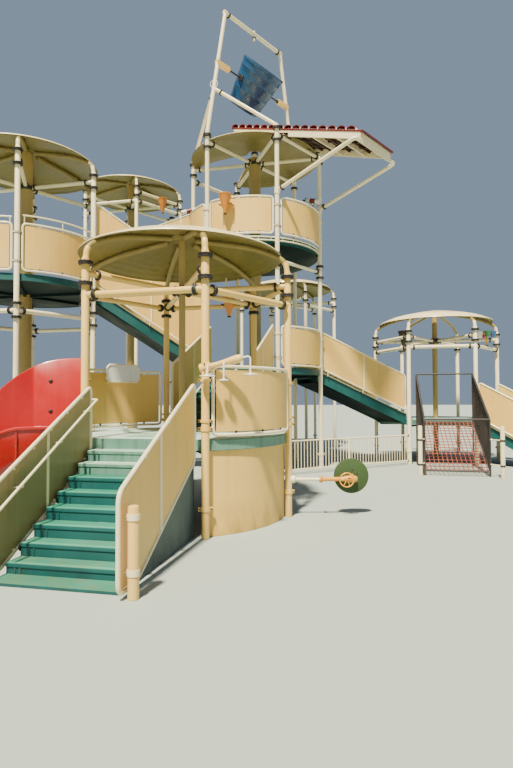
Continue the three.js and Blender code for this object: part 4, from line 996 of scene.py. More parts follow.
def rounded_loop(width, low, high, corner):
    """Points (distance, height) round a rectangle with round corners, anticlockwise from the lower left."""
    out = []
    sides = [((corner, low), (width - corner, low)), ((width, low + corner), (width, high - corner)),
             ((width - corner, high), (corner, high)), ((0, high - corner), (0, low + corner))]
    knees = [(width, low), (width, high), (0, high), (0, low)]
    for (a, b), knee, (c, _) in zip(sides, knees, sides[1:] + sides[:1]):
        count = LOOP_STEPS if abs(b[0] - a[0]) > 0.3 else 2
        out += [(a[0] + (b[0] - a[0]) * k / count,
                 a[1] + (b[1] - a[1]) * k / count) for k in range(count + 1)]
        for k in range(1, CORNER_STEPS):
            w = k / CORNER_STEPS
            out.append(tuple((1 - w) ** 2 * p + 2 * w * (1 - w) * q + w * w * r for p, q,
                             r in zip(b, knee, c)))
    return out


def rail_bay(name, tower_name, edge, low, high, extra=None):
    """The panel of one side of a tower between two heights, and a rail above it where one is given."""
    tower = TOWERS[tower_name]
    piece = Piece(name)
    start = post_angle(edge) + arc_degrees(BAY_INSET)

    def bend(s, z):
        return around(tower["centre"], start + arc_degrees(s), HEX, z)

    tube(piece, [bend(s, z) for s, z in rounded_loop(BAY_WIDTH, low, high, BAY_CORNER)], RAIL_TUBE, CREAM, 14,
         closed=True)
    a0, a1 = start + arc_degrees(SHEET_INSET), start + arc_degrees(BAY_WIDTH - SHEET_INSET)
    sheet = rectangle(HEX - SHEET_HALF, HEX + SHEET_HALF, low + SHEET_INSET, high - SHEET_INSET)
    swept_arc(piece, sheet, (*tower["centre"], 0), a1, a0, 24, TAN)
    for k in range(BAY_CLIPS):
        s = BAY_WIDTH * (k + 0.7) / (BAY_CLIPS + 0.4)
        for z, way, paint in ((low, 1, BLACK), (high, -1, CREAM)):
            at = side_view(bend(s, 0)[:2], start + arc_degrees(s) + 90)
            clip = rectangle(-0.014, 0.014, z, z + way * (SHEET_INSET + 0.012))
            board(piece, at, clip, -0.012, 0.012, paint)
    for z in (low + 0.2, high - 0.2):
        for n, s in ((edge, 0.0), (edge + 1, BAY_WIDTH)):
            tube(piece, [post(tower, n, z), bend(s, z)], 0.014, CREAM, 10)
            clamp_collar(piece, post(tower, n, z), tower["paint"], 0.04)
    if extra:
        tube(piece, [bend(BAY_WIDTH * k / 12, extra) for k in range(13)], RAIL_TUBE * 0.75, CREAM, 12)
        for share in (0.02, 0.5, 0.98):
            tube(piece, [bend(BAY_WIDTH * share, high), bend(BAY_WIDTH * share, extra)], 0.01, CREAM, 8)
    return piece


right_panel = rail_bay("front_tower_right_panel", "front", 0, 1.41, 2.37)
right_panel.make("structure", "tan_panel", ["front_rail_panel"])
print("bay", round(BAY_WIDTH, 3), "m along the curve")

# %% [markdown]
# The back panel of the front tower has a small white plate in a frame of tube above its rail, where the real
# place may hang a notice. It stands a little inside the curve of the rail, on two short arms. The plate is
# left bare. Its frame is a closed tube through eight points, which gives the cut corners.

# %% Back panel with its bare plate
PLATE_X, PLATE_Z, PLATE_CORNER, PLATE_RADIUS = (-0.49, 0.22), (2.24, 2.56), 0.06, 1.55
(x0, x1), (z0, z1), r = PLATE_X, PLATE_Z, PLATE_CORNER
back_panel = rail_bay("front_tower_back_panel", "front", 3, 1.41, 2.46)
plate_at = side_view(around(front_centre, edge_angle(3), PLATE_RADIUS, 0)[:2], edge_angle(3) - 90)
plate_loop = [(x0 + r, z0), (x1 - r, z0), (x1, z0 + r), (x1, z1 - r), (x1 - r, z1), (x0 + r, z1),
              (x0, z1 - r),
              (x0, z0 + r)]
tube(back_panel, [plate_at(x, 0, z) for x, z in plate_loop], 0.016, CREAM, 12, closed=True)
plate = rectangle(x0 + 0.01, x1 - 0.01, z0 + 0.01, z1 - 0.01)
board(back_panel, plate_at, plate, -0.004, 0.004, PUMP_WHITE)
for x in (x0 + 0.12, x1 - 0.12):
    tube(back_panel, [plate_at(x, 0, z0), plate_at(x, HEX - 1.56, z0)], 0.012, CREAM, 10)
back_panel.make("structure", "tan_panel", ["front_back_panel"])
print("plate", round(x1 - x0, 2), "by", round(z1 - z0, 2), "m")

# %% [markdown]
# The tall and the left tower have such panels too, and the left one's have one more rail above them. The
# front rail of the tall tower also carries the pin of a cone. One table and one loop make the five that need
# nothing else.

# %% Rail panels of the tall and the left tower
TALL_RAIL, TALL_MID_RAIL, LEFT_RAIL = (6.06, 6.985), (2.76, 3.74), (4.71, 5.73)
for name, tower_name, edge, (low, high), extra, node in (
        ("tall_tower_right_panel", "tall", 0, TALL_RAIL, None, "tall_rail_right"),
        ("tall_tower_left_panel", "tall", 4, TALL_RAIL, None, "tall_rail_left"),
        ("tall_tower_middle_panel", "tall", 0, TALL_MID_RAIL, None, "tall_mid_rail"),
        ("left_tower_right_panel", "left", 0, LEFT_RAIL, 5.91, "left_rail_right"),
        ("left_tower_left_panel", "left", 5, LEFT_RAIL, 5.86, "left_rail_left")):
    rail_bay(name, tower_name, edge, low, high, extra).make("structure", "tan_panel", [node])
tall_front = rail_bay("tall_tower_front_panel", "tall", 5, *TALL_RAIL)
cone_azimuth = edge_angle(5) - 8.6
cone_at = around(tall_centre, cone_azimuth, HEX + CONE_ASIDE, TALL_RAIL[1] - CONE_RIM)
cone_bucket("tall", cone_at, cone_azimuth + 90, -CONE_ASIDE, tall_front)
tall_front.make("structure", "tan_panel", ["tall_rail_front"])

# %% [markdown]
# The skirt wall closes the front tower towards the pool: one bent tan sheet from the water up to the deck,
# with a thin fold along its top edge. The waves leave a dull band on its foot, which the water-line socket
# gives. The sweep that made the half canopy makes both, from two rectangles.

# %% Skirt wall of the front tower
skirt = Piece("front_skirt_wall_sheet")
skirt_top = FRONT_DECK - DECK_THICK - 0.0003
wall = rectangle(1.739, 1.761, 0, skirt_top)
fold = rectangle(1.733, 1.7665, skirt_top - 0.05, skirt_top)
for section in (wall, fold):
    swept_arc(skirt, section, (*front_centre, 0), post_angle(1) - 1, post_angle(0) + 1, 40, SKIRT_TAN)
skirt.make("structure", "sand_paint", ["front_skirt_wall"])
print("skirt top", skirt_top)

# %% [markdown]
# Flights of steps. Between towers a flight always crosses the same gap, so one recipe serves them all: a
# stack of moulded treads with a rounded nose and grit on top, a paler strip along each nose that is painted
# highlight, risers below them, a closed soffit painted near black as painted shade, and a stringer board on
# each side with a lip along its upper edge. An array modifier could repeat a tread, but a loop lets the rise
# follow from the two decks.

# %% Flights between the towers
FLIGHT_HALF, STRINGER, FLIGHT_RAIL, SOFFIT = 0.7, 0.04, 0.804, 0.19
SPAN = GRID - 2 * DECK_EDGE - 0.0006
# A paler green for the strip along each tread's nose: painted highlight.
NOSING_HIGHLIGHT = finish("tread_nosing_painted_highlight", (46, 144, 112), (80, 166, 134), streaks=0.0, smooth=0.5, rough=0.7,
                grit=90.0)


def pitch(run, low, high):
    risers = round((high - low) / 0.15)
    rise = (high - low) / risers
    return risers, rise, lambda s, up=0.0: (s, low + rise + (high - low - rise) * s / run + up)


TREAD_DEPTH = 0.045
RAIL_HIGH = 1.1


def tread(piece, place, s, going, z, half, top, riser, drop=0.15, nosing=0.03):
    """One step: a slab with a round front, a paler strip let into it as painted highlight along the nose, and
    the riser below.
    """
    low, front = z - TREAD_DEPTH, s - nosing
    nose = [(front + 0.008 - 0.008 * math.sin(a), z - 0.008 + 0.008 * math.cos(a)) for a in (0, 0.5, 1.0,
                                                                                             1.57)]
    board(piece, place, [(s + going, low), (s + going, z)] + nose + [(front, low)], -half, half, riser,
          top=top)
    # The paler strip stands for the light along the nose: painted highlight.
    paler = rectangle(front + 0.015, front + 0.055, z - 0.002, z + 0.002)
    board(piece, place, paler, 0.01 - half, half - 0.01, NOSING_HIGHLIGHT)
    board(piece, place, rectangle(s, s + 0.02, z - drop, low), -half, half, riser)


def soffit_line(run, foot, head):
    line = [(run, head)]
    if foot < 0:
        return line + [(run * foot / (foot - head), 0), (0, 0)]
    return line + [(0, foot)]


def flight(piece, place, run, low, high):
    risers, rise, _ = pitch(run, low, high)
    going = run / (risers - 1)
    for k in range(risers - 1):
        tread(piece, place, going * k, going, low + rise * (k + 1), FLIGHT_HALF, TREAD, TEAL, drop=rise)
    head = low + rise * (risers - 1) - SOFFIT
    foot = low + rise * 0.5 - SOFFIT
    lower = soffit_line(run, foot, head)
    upper = [(s, z + 0.012) for s, z in reversed(lower)]
    # The soffit is near black teal: painted shade under the flight.
    board(piece, place, lower + upper, -FLIGHT_HALF, FLIGHT_HALF, DEEP_TEAL_PAINTED_SHADE)
    for side in (-1, 1):
        edge = [(0.004, low + rise + 0.02), (run - 0.004, high + 0.02)]
        lower = soffit_line(run - 0.004, low - DECK_THICK, high - DECK_THICK - rise)
        outline = edge + [(max(0.004, s), z) for s, z in lower]
        board(piece, place, outline, side * (FLIGHT_HALF - 0.004), side * (FLIGHT_HALF + STRINGER - 0.006),
              TEAL)
        rim = [(s, z + lift) for (s, z), lift in zip(edge + edge[::-1], (-0.03, -0.03, 0.004, 0.004))]
        board(piece, place, rim, side * (FLIGHT_HALF - 0.006), side * (FLIGHT_HALF + STRINGER), CREAM)


def on_line(p, q, s):
    return p[1] + (q[1] - p[1]) * (s - p[0]) / (q[0] - p[0])


RAIL_CLIPS = 5


def flight_rail(piece, place, t, corners, uprights, sheet=TAN, seams=0):
    """A frame of tube beside a flight; its corners are both ends of the lower line, then of the upper one."""
    tube(piece, eased([place(s, t, z) for s, z in corners], 0.11, closed=True), RAIL_TUBE, CREAM, 14,
         closed=True)
    middle = np.mean(np.array(corners), axis=0)
    inner = []
    for s, z in corners:
        way = middle - (s, z)
        inner.append((s + math.copysign(0.035, way[0]), z + math.copysign(0.035, way[1])))
    board(piece, place, inner, t - 0.005, t + 0.005, sheet)
    low_foot, low_head, high_head, high_foot = corners[:4]
    for s in uprights:
        ends = [place(s, t, on_line(*line, s)) for line in ((low_foot, low_head), (high_foot, high_head))]
        tube(piece, ends, RAIL_TUBE, CREAM, 12)
    first, last = low_foot[0], low_head[0]
    for k in range(1, seams + 1):
        s = first + (last - first) * k / (seams + 1)
        foot, top = on_line(low_foot, low_head, s) + 0.03, on_line(high_foot, high_head, s) - 0.03
        board(piece, place, rectangle(s - 0.012, s + 0.012, foot, top), t - 0.009, t + 0.009, sheet)
    for k in range(RAIL_CLIPS):
        s = first + (last - first) * (k + 0.7) / (RAIL_CLIPS + 0.4)
        for line, way in (((low_foot, low_head), 1), ((high_foot, high_head), -1)):
            z = on_line(*line, s)
            board(piece, place, rectangle(s - 0.014, s + 0.014, z, z + way * 0.05), t - 0.011, t + 0.011,
                  CREAM)


def flight_railing(piece, place, run, low, high, side, height=RAIL_HIGH, seams=0):
    _, _, line = pitch(run, low, high)
    a, b = 0.07, run - 0.07
    t, board_t = side * FLIGHT_RAIL, side * (FLIGHT_HALF + STRINGER)
    corners = [line(a, 0.09), line(b, 0.09), line(b, height), line(a, height)]
    flight_rail(piece, place, t, corners, [run / 2], seams=seams)
    for s in (0.3, run / 2 + 0.04, run - 0.3):
        _, z = line(s, 0.09)
        bracket = [place(s, t, z), place(s, t, z - 0.11), place(s, board_t, z - 0.11)]
        tube(piece, eased(bracket, 0.03), 0.014, CREAM, 10)
        way = place(0, side, 0) - place(0, 0, 0)
        flange_pair(piece, place(s, side * (FLIGHT_HALF + STRINGER + 0.006), z - 0.11), way, 0.034, 0.006, 4)


def whole_flight(name, tower_name, edge, low, high, left_height=RAIL_HIGH, seams=0):
    tower = TOWERS[tower_name]
    place = side_view(edge_middle(tower, edge, 0.0003)[:2], edge_angle(edge))
    steps = Piece(name + "_flight")
    flight(steps, place, SPAN, low, high)
    steps.make("structure", "teal_deck", [name + "_steps"], bevel=0.003)
    for side, word, height, joints in ((1, "left", left_height, seams), (-1, "right", RAIL_HIGH, 0)):
        rail = Piece(name + "_" + word + "_railing")
        flight_railing(rail, place, SPAN, low, high, side, height, joints)
        rail.make("structure", "tan_panel", [name + "_rail_" + word])


whole_flight("front_stair", "front", 2, FRONT_DECK, MID_DECK)
whole_flight("left_stair", "tall", 4, MID_DECK, LEFT_DECK, 2.1, seams=7)
whole_flight("right_stair", "right", 4, RIGHT_DECK, MID_DECK)
print("span of a flight", round(SPAN, 4), "m")

# %% [markdown]
# The exit stair of the right tower goes down to the pool by the same recipe, over a shorter run, with both of
# its railings on it.

# %% Exit stair
EXIT_RUN = 2.1
exit_place = side_view(edge_middle(right_tower, 0, 0.0003 + EXIT_RUN)[:2], edge_angle(0) + 180)
exit_stair = Piece("exit_stair_flight")
flight(exit_stair, exit_place, EXIT_RUN, 0, RIGHT_DECK)
for side in (1, -1):
    flight_railing(exit_stair, exit_place, EXIT_RUN, 0, RIGHT_DECK, side)
exit_stair.make("structure", "teal_deck", ["exit_stair"], bevel=0.003)
print("exit run", EXIT_RUN)

# %% [markdown]
# The entry stair is the one the photographer looks at: eight wide treads down to the water, teal, the top two
# pale, a speckled skirt under each side, and a low toe slab at its foot. Two dark upright straps at each end
# of a riser hold the tread above it. The function for a tread is used again, with a shorter nosing.

# %% Entry stair
ENTRY_HALF, ENTRY_RUN, ENTRY_RISERS, ENTRY_RAIL, RISE = 0.74, 1.94, 9, 0.8, 0.15
PALE_FROM = 6  # the first tread with a pale top, counted from 0 at the foot
entry = side_view((0, -DECK_EDGE - 0.0003 - ENTRY_RUN), 90)
entry_going = ENTRY_RUN / (ENTRY_RISERS - 1)
SKIRT_GREY = finish("speckled_skirt", (44, 66, 70), (112, 128, 124), dirt=srgb(24, 36, 40), streaks=0.2,
                    water_line=0.6,
                    smooth=0.5, rough=0.8, grit=70.0)
DARK_TEAL = finish("tread_straps", (12, 62, 66), (20, 78, 80), streaks=0.1)


def entry_stair():
    piece = Piece("entry_stair_flight")
    for k in range(ENTRY_RISERS - 1):
        surface, body = (PALE_DECK, PALE_EDGE) if k >= PALE_FROM else (TREAD, TEAL)
        s, z = entry_going * k, RISE * k
        tread(piece, entry, s, entry_going, RISE * (k + 1), ENTRY_HALF, surface, body, nosing=0.012)
        for t in (0.1, 0.16):
            bar = rectangle(s - 0.008, s + 0.002, z + 0.004, z + 0.104)
            for side in (-1, 1):
                board(piece, entry, bar, side * (ENTRY_HALF - t), side * (ENTRY_HALF - t - 0.022), DARK_TEAL)
    board(piece, entry, rectangle(-0.28, 0.06, 0, 0.03), -ENTRY_HALF, ENTRY_HALF, TEAL, top=TREAD)
    rear = ENTRY_RUN - 0.02
    board(piece, entry, rectangle(rear, ENTRY_RUN, 0.4, 1.2), -ENTRY_HALF, ENTRY_HALF, PALE_EDGE)
    for side in (-1, 1):
        skirt_line = [(0, 0), (ENTRY_RUN, 0), (ENTRY_RUN, 1.19), (0, 0.01)]
        board(piece, entry, skirt_line, side * ENTRY_HALF, side * (ENTRY_HALF - 0.036), SKIRT_GREY)
    return piece


entry_stair().make("structure", "teal_deck", ["entry_stair"], bevel=0.003)
print("entry going", round(entry_going, 4))

# %% [markdown]
# Railings of the entry stair: a tall sheet panel on each side in a frame of white tube, tilted with the
# flight. Both run on past the foot of the stair. The left one has a thin handrail on its inner side that
# hooks back to it at the top; a short bollard stands outside the foot of the right one and holds it by two
# clamps. The frame of the other flights takes any corners, so these need only their own points.

# %% Entry railings and bollard
RAILINGS = {
    1: dict(corners=[(-0.06, 0.06), (1.88, 1.08), (1.88, 2.11), (-0.45, 0.81), (-0.45, 0.06)], upright=0.835),
    -1: dict(corners=[(-0.06, 0.06), (1.78, 1.08), (1.78, 2.13), (-0.45, 1.02), (-0.45, 0.06)],
             upright=0.585),
}
HANDRAIL_FOOT, HANDRAIL_HEAD, HANDRAIL_INSIDE = (-0.3, 0.69), (1.8, 1.89), 0.12
# A darker copy of the tan sheet: painted shade on the inner face of the left railing.
TAN_SHEET_PAINTED_SHADE = finish("shaded_tan_sheet", (146, 128, 86), (164, 146, 102), dirt=srgb(104, 90, 58), streaks=0.3)


def handrail(piece, t):
    inside = t - HANDRAIL_INSIDE
    rail = [entry(s, inside, z) for s, z in (HANDRAIL_FOOT, HANDRAIL_HEAD)]
    hook = [entry(HANDRAIL_HEAD[0] + 0.06, t - across,
                  HANDRAIL_HEAD[1] + 0.02) for across in (HANDRAIL_INSIDE, 0.0)]
    tube(piece, eased(rail + hook, 0.05), 0.017, CREAM, 12)
    for s in (0.2, ENTRY_RUN / 2, ENTRY_RUN - 0.3):
        z = on_line(HANDRAIL_FOOT, HANDRAIL_HEAD, s)
        arm = [entry(s, inside, z), entry(s, inside, z - 0.05), entry(s, t, z - 0.05)]
        tube(piece, eased(arm, 0.03), 0.009, CREAM, 8)


def entry_railing(name, side, node, sheet):
    piece = Piece(name)
    t = side * ENTRY_RAIL
    railing = RAILINGS[side]
    flight_rail(piece, entry, t, railing["corners"], [railing["upright"]], sheet=sheet)
    for s, z in ((0.25, 0.24), (ENTRY_RUN / 2, 0.64), (ENTRY_RUN - 0.25, 1.08)):
        tube(piece, [entry(s, t, z), entry(s, side * ENTRY_HALF, z)], 0.016, CREAM, 10)
        disc(piece, entry(s, side * (ENTRY_HALF + 0.004), z), (1, 0, 0), 0.04, 0.004, BLACK, segments=16)
    if side > 0:
        handrail(piece, t)
    return piece.make("structure", "tan_panel", [node])


entry_railing("entry_right_railing", -1, "entry_rail_right", TAN)
# The left railing's sheet is the darker tan copy: painted shade.
entry_railing("entry_left_railing", 1, "entry_rail_left", TAN_SHEET_PAINTED_SHADE)
BOLLARD_S, BOLLARD_T = -0.33, -0.9
bollard = Piece("entry_bollard_post")
foot = entry(BOLLARD_S, BOLLARD_T, 0)
turned(bollard, [(0, 0), (0.056, 0), (0.056, 0.862), (0.05, 0.882), (0.036, 0.89), (0, 0.89)], foot, SAND, 28)
for z in (0.25, 0.78):
    at = foot + np.array([0, 0, z])
    turned(bollard, [(0.054, -0.03), (0.064, -0.03), (0.064, 0.03), (0.054, 0.03)], at, CREAM, 28)
    tube(bollard, [at, entry(BOLLARD_S, -ENTRY_RAIL - 0.0065, z)], 0.014, CREAM, 12)
bollard.make("structure", "sand_paint", ["entry_bollard"])
print("bollard foot", [round(float(v), 3) for v in foot])

# %% [markdown]
# The slide is an open flume of red gel coat, made in lengths that bolt together on flanges. The section has
# round inner corners and a rolled lip on each wall, and is carried along a path that runs straight out of the
# front tower and then turns. The floor drops to the water, the near lip stays level at first, and the far
# wall starts as a shield taller than a child. Three small functions of the run say how high each of them is.
# A curve with a bevel object could carry one section only, and here the walls change on the way, so each ring
# is worked out.

# %% Red slide
SLIDE_WALL, SLIDE_HALF, SLIDE_FILLET = 0.03, 0.47, 0.16
SLIDE_TURN, SLIDE_STRAIGHT, SLIDE_RADIUS = 55, 0.9, 2.6
SLIDE_LENGTH = SLIDE_STRAIGHT + math.radians(SLIDE_TURN) * SLIDE_RADIUS
SLIDE_STEPS = 54


def smoothstep(x, start, end):
    w = min(1.0, max(0.0, (x - start) / (end - start)))
    return w * w * (3 - 2 * w)


def slide_floor(run):
    return FRONT_DECK - 0.12 - 1.15 * smoothstep(run, 0, 2.9)


def slide_lip(run):
    return FRONT_DECK + 0.16 - 1.09 * smoothstep(run, 0.9, SLIDE_LENGTH)


def slide_shield(run):
    return max(slide_lip(run), FRONT_DECK + 1.26 - 0.26 * run ** 3)


def wall_section(floor, top):
    """Half of the section as (across, height) points, from the underside over the lip to the floor."""
    half, wall, fillet = SLIDE_HALF, SLIDE_WALL, SLIDE_FILLET
    outer = [(half - 0.14, floor), (half - 0.04, floor + 0.04), (half, floor + 0.14)]
    lip = [(half - 0.002, top - 0.05), (half + 0.022, top - 0.045), (half + 0.03, top - 0.02),
           (half + 0.02, top),
           (half - wall / 2, top + 0.006), (half - wall - 0.004, top - 0.012)]
    corner = (half - wall - fillet, floor + wall + fillet)
    angles = (0, 0.4, 0.8, 1.2, 1.57)
    return outer + lip + [(corner[0] + fillet * math.cos(a),
                           corner[1] - fillet * math.sin(a)) for a in angles]


def slide_stations():
    """Along the path: the run so far, the point on the ground below, and the direction across."""
    count, heading = SLIDE_STEPS, edge_angle(4)
    at = np.array(edge_middle(TOWERS["front"], 4, 0.0003)[:2])
    out = []
    for k in range(count + 1):
        bend, bend_before = (math.degrees(max(0, SLIDE_LENGTH * m / count - SLIDE_STRAIGHT) / SLIDE_RADIUS)
                             for m in (k, k - 0.5))
        if k:
            at = at + polar(heading + bend_before, SLIDE_LENGTH / count)
        out.append((SLIDE_LENGTH * k / count, np.array([*at, 0]),
                    np.array([*polar(heading + bend + 90, 1), 0])))
    return out


def across_slide(station, section, shift=0.0):
    _, origin, across = station
    along = np.cross([0, 0, 1], across) * -shift
    return [origin + along + across * x + np.array([0, 0, z]) for x, z in section]


def slide_heights(run):
    return slide_floor(run), slide_lip(run), slide_shield(run)


def red_slide():
    piece = Piece("red_slide_flume")
    stations = slide_stations()
    rings = []
    for station in stations:
        floor, lip, shield = slide_heights(station[0])
        far = [(-x, z) for x, z in wall_section(floor, shield)]
        rings.append(across_slide(station, wall_section(floor, lip) + far[::-1]))
    skin(piece, rings, RED)
    for k in (16, 30, 44):
        floor, lip, shield = slide_heights(stations[k][0])
        low, high = lip - 0.07, shield - 0.07
        flange = [(0.5, low), (0.5, floor - 0.035), (-0.5, floor - 0.035), (-0.5, high), (-0.468, high),
                  (-0.468, floor + 0.05), (-0.33, floor), (0.33, floor), (0.468, floor + 0.05), (0.468, low)]
        skin(piece, [across_slide(stations[k], flange, shift) for shift in (-0.01, 0.01)], RED)
        for x, top in ((0.484, low), (-0.484, high)):
            for z in np.arange(floor + 0.1, top, 0.22):
                at = across_slide(stations[k], [(x, z)])[0]
                disc(piece, at, np.cross([0, 0, 1], stations[k][2]), 0.012, 0.02, BOLT, segments=6)
    for k, z in ((9, 2.22), (9, 1.72)):
        at = across_slide(stations[k], [(-0.438, z)])[0]
        disc(piece, at, stations[k][2], 0.034, 0.006, BLACK, segments=16)
    for k in (24, 42):
        run, origin, _ = stations[k]
        top = slide_floor(run)
        tube(piece, [origin, origin + np.array([0, 0, top + 0.01])], 0.045, CREAM, 20)
        disc(piece, origin + np.array([0, 0, 0.008]), (0, 0, 1), 0.11, 0.008, BLACK)
        disc(piece, origin + np.array([0, 0, top - 0.012]), (0, 0, 1), 0.1, 0.012, BLACK)
    return piece


red_slide().make("structure", "red_plastic", ["red_slide"], sharp=50)
print("slide end", [round(float(v), 2) for v in slide_stations()[-1][1]])

# %% [markdown]
# The shower club: a turned tan arm, thin at the post and fat at its end, with three white rose heads hanging
# below it on short pipes. A saddle clamps it to the post. The arm is one turned shape on a leaning axis,
# smoothed through eight points; joined cylinders would show steps.

# %% Shower club
CLUB_Z, CLUB_RISE, CLUB_LENGTH = 2.35, 0.25, 0.53
ROSES = ((0.066, 0.066, -0.17, 2.24, 0.11), (0.27, 0.27, -0.06, 2.185, 0.07), (0.5, 0.63, 0.0, 2.262, 0.105))
club_place = side_view(post(TOWERS["front"], 0, 0)[:2], 5)


def club_point(s, t=0.0):
    return club_place(s, t, CLUB_Z + CLUB_RISE * s)


def shower_rose(piece, start, s, t, z, radius):
    """A rose with its top at height z, on a pipe that leaves the arm at start."""
    at = club_place(s, t, z)
    pipe_run = [club_point(start), club_point(s, t), at] if abs(t) > 0.01 or s > start else [club_point(s),
                                                                                             at]
    tube(piece, eased(pipe_run, 0.06), 0.012, PUMP_WHITE, 12)
    rose = [(0, 0.01), (0.024, 0.004), (radius * 0.6, -0.002), (radius * 0.97, -0.01), (radius, -0.016),
            (radius * 0.95, -0.024),
            (radius * 0.8, -0.021), (0, -0.021)]
    turned(piece, rose, at, PUMP_WHITE, 36)


def shower_club():
    piece = Piece("shower_club_arm")
    way = unit(club_point(1) - club_point(0))
    saddle = [(0, -0.08), (0.056, -0.08), (0.068, -0.066), (0.068, 0.066), (0.056, 0.08), (0, 0.08)]
    turned(piece, saddle, club_point(0), SAND, 32, way)
    arm = [(0.044, 0.0), (0.037, 0.1), (0.036, 0.2), (0.044, 0.3), (0.054, 0.4), (0.058, 0.46), (0.052, 0.51),
           (0.03, 0.54)]
    turned(piece, [(0, 0)] + smooth_line(arm, 4) + [(0, 0.546)], club_point(0), SAND, 36, way)
    for side in (-1, 1):
        at = club_point(0.0) + np.array([0, 0, side * 0.045])
        for t in (-0.072, 0.072):
            disc(piece, at + club_place(0, t, 0) - club_place(0, 0, 0),
                 club_place(0, 1, 0) - club_place(0, 0, 0), 0.013, 0.008, BLACK,
                 segments=6)
    for rose in ROSES:
        shower_rose(piece, *rose)
    return piece


shower_club().make("structure", "sand_paint", ["shower_club"])
print("club tip", [round(float(v), 3) for v in club_point(CLUB_LENGTH)])

# %% [markdown]
# The valve: a pipe from the right post, cream up to its flange and yellow beyond, with a spoked yellow
# handwheel in front and a thick dull-green disc on its end. The wheel is a piece of its own, because it turns
# with the wheel's body while the pipe stands still.

# %% Valve arm, handwheel and green disc
VALVE_Z, VALVE_FLANGE, VALVE_AZIMUTH = 0.6, 0.53, 12
WHEEL_S, WHEEL_T, WHEEL_RADIUS = 0.935, -0.105, 0.112  # along the pipe, in front of it, and to the rim
DISC_S, DISC_Z = 1.04, 0.64
valve_place = side_view(post(TOWERS["front"], 1, 0)[:2], VALVE_AZIMUTH)
valve_way = (*polar(VALVE_AZIMUTH, 1), 0)
valve_side = (*polar(VALVE_AZIMUTH + 90, 1), 0)

arm = Piece("valve_arm_pipe")
tube(arm, [valve_place(0, 0, VALVE_Z), valve_place(VALVE_FLANGE, 0, VALVE_Z)], 0.026, CREAM, 18)
turned(arm, [(0, -0.035), (0.06, -0.035), (0.062, 0.03), (0.045, 0.045), (0, 0.045)],
       valve_place(0.065, 0, VALVE_Z), CREAM, 28, valve_way)
flange_pair(arm, valve_place(VALVE_FLANGE, 0, VALVE_Z), valve_way, 0.058, 0.02, 6, YELLOW)
body_line = [(0, 0.0), (0.034, 0.0), (0.034, 0.3), (0.04, 0.36), (0.058, 0.42), (0.058, 0.52), (0.05, 0.56),
             (0.036, 0.58), (0, 0.582)]
turned(arm, body_line, valve_place(VALVE_FLANGE + 0.01, 0, VALVE_Z), YELLOW, 32, valve_way)
tube(arm, [valve_place(DISC_S, 0, 0.62), valve_place(DISC_S, 0.059, DISC_Z)], 0.04, YELLOW, 20)
tube(arm, [valve_place(WHEEL_S, 0, VALVE_Z), valve_place(WHEEL_S, -0.082, VALVE_Z)], 0.02, YELLOW, 16)
arm.make("structure", "yellow_paint", ["valve_arm"])

wheel = Piece("valve_handwheel")
wheel_at = valve_place(WHEEL_S, WHEEL_T, VALVE_Z)


def on_wheel(a, r, t=0.0):
    return valve_place(WHEEL_S + r * math.cos(a), WHEEL_T + t, VALVE_Z + r * math.sin(a))


tube(wheel, [on_wheel(math.pi * k / 18, WHEEL_RADIUS) for k in range(36)], 0.0105, YELLOW, 12, closed=True)
for k in range(6):
    a = math.pi * k / 3
    spoke = [on_wheel(a, 0.015), on_wheel(a, 0.06, 0.004), on_wheel(a, WHEEL_RADIUS)]
    tube(wheel, spoke, [0.009, 0.0065, 0.006], YELLOW, 10)
turned(wheel, [(0, -0.022), (0.018, -0.022), (0.024, -0.01), (0.024, 0.012), (0.016, 0.022), (0, 0.022)],
       wheel_at, YELLOW, 24, valve_side)
disc(wheel, on_wheel(0, 0, -0.026), valve_side, 0.012, 0.006, BOLT, segments=6)
wheel.make("wheel", "yellow_paint", ["valve_wheel"])

mat = Piece("green_disc_pad")
mat_line = [(0, -0.035), (0.268, -0.035), (0.28, -0.03), (0.285, -0.018), (0.285, 0.018), (0.28, 0.03),
            (0.268, 0.035), (0.05, 0.035), (0.045, 0.028), (0, 0.028)]
turned(mat, mat_line, valve_place(DISC_S, 0.095, DISC_Z), MAT_GREEN, 56, valve_side)
for k in range(6):
    a = math.pi * k / 3 + 0.4
    screw = valve_place(DISC_S + 0.1 * math.cos(a), 0.058, DISC_Z + 0.1 * math.sin(a))
    disc(mat, screw, valve_side, 0.013, 0.004, BLACK, segments=12)
mat.make("structure", "green_mat", ["green_disc"])
print("handwheel at", [round(float(v), 3) for v in wheel_at])

# %% [markdown]
# The frame over the tall tower holds the bucket: two legs that lean in to a cross beam, with a nozzle hanging
# from the middle of the beam, bearing boxes half way up, and two braces that run down to the post heads on
# one side. All of it is tube through listed points, with turned shoes where the tubes end.

# %% Bucket frame
PORTAL = 60
LEG_TOP, BEAM_Z, LEG_TUBE, AXLE_Z, BEARING = 1.16, 12.37, 0.052, 10.85, 1.01
head_top = tall_tower["flange"] + 0.022
portal = side_view(tall_centre, PORTAL)
portal_way = (*polar(PORTAL, 1), 0)


def leg_at(z):
    return HEX + (LEG_TOP - HEX) * (z - head_top + 0.022 - 0.08) / (BEAM_Z - head_top + 0.022 - 0.08)


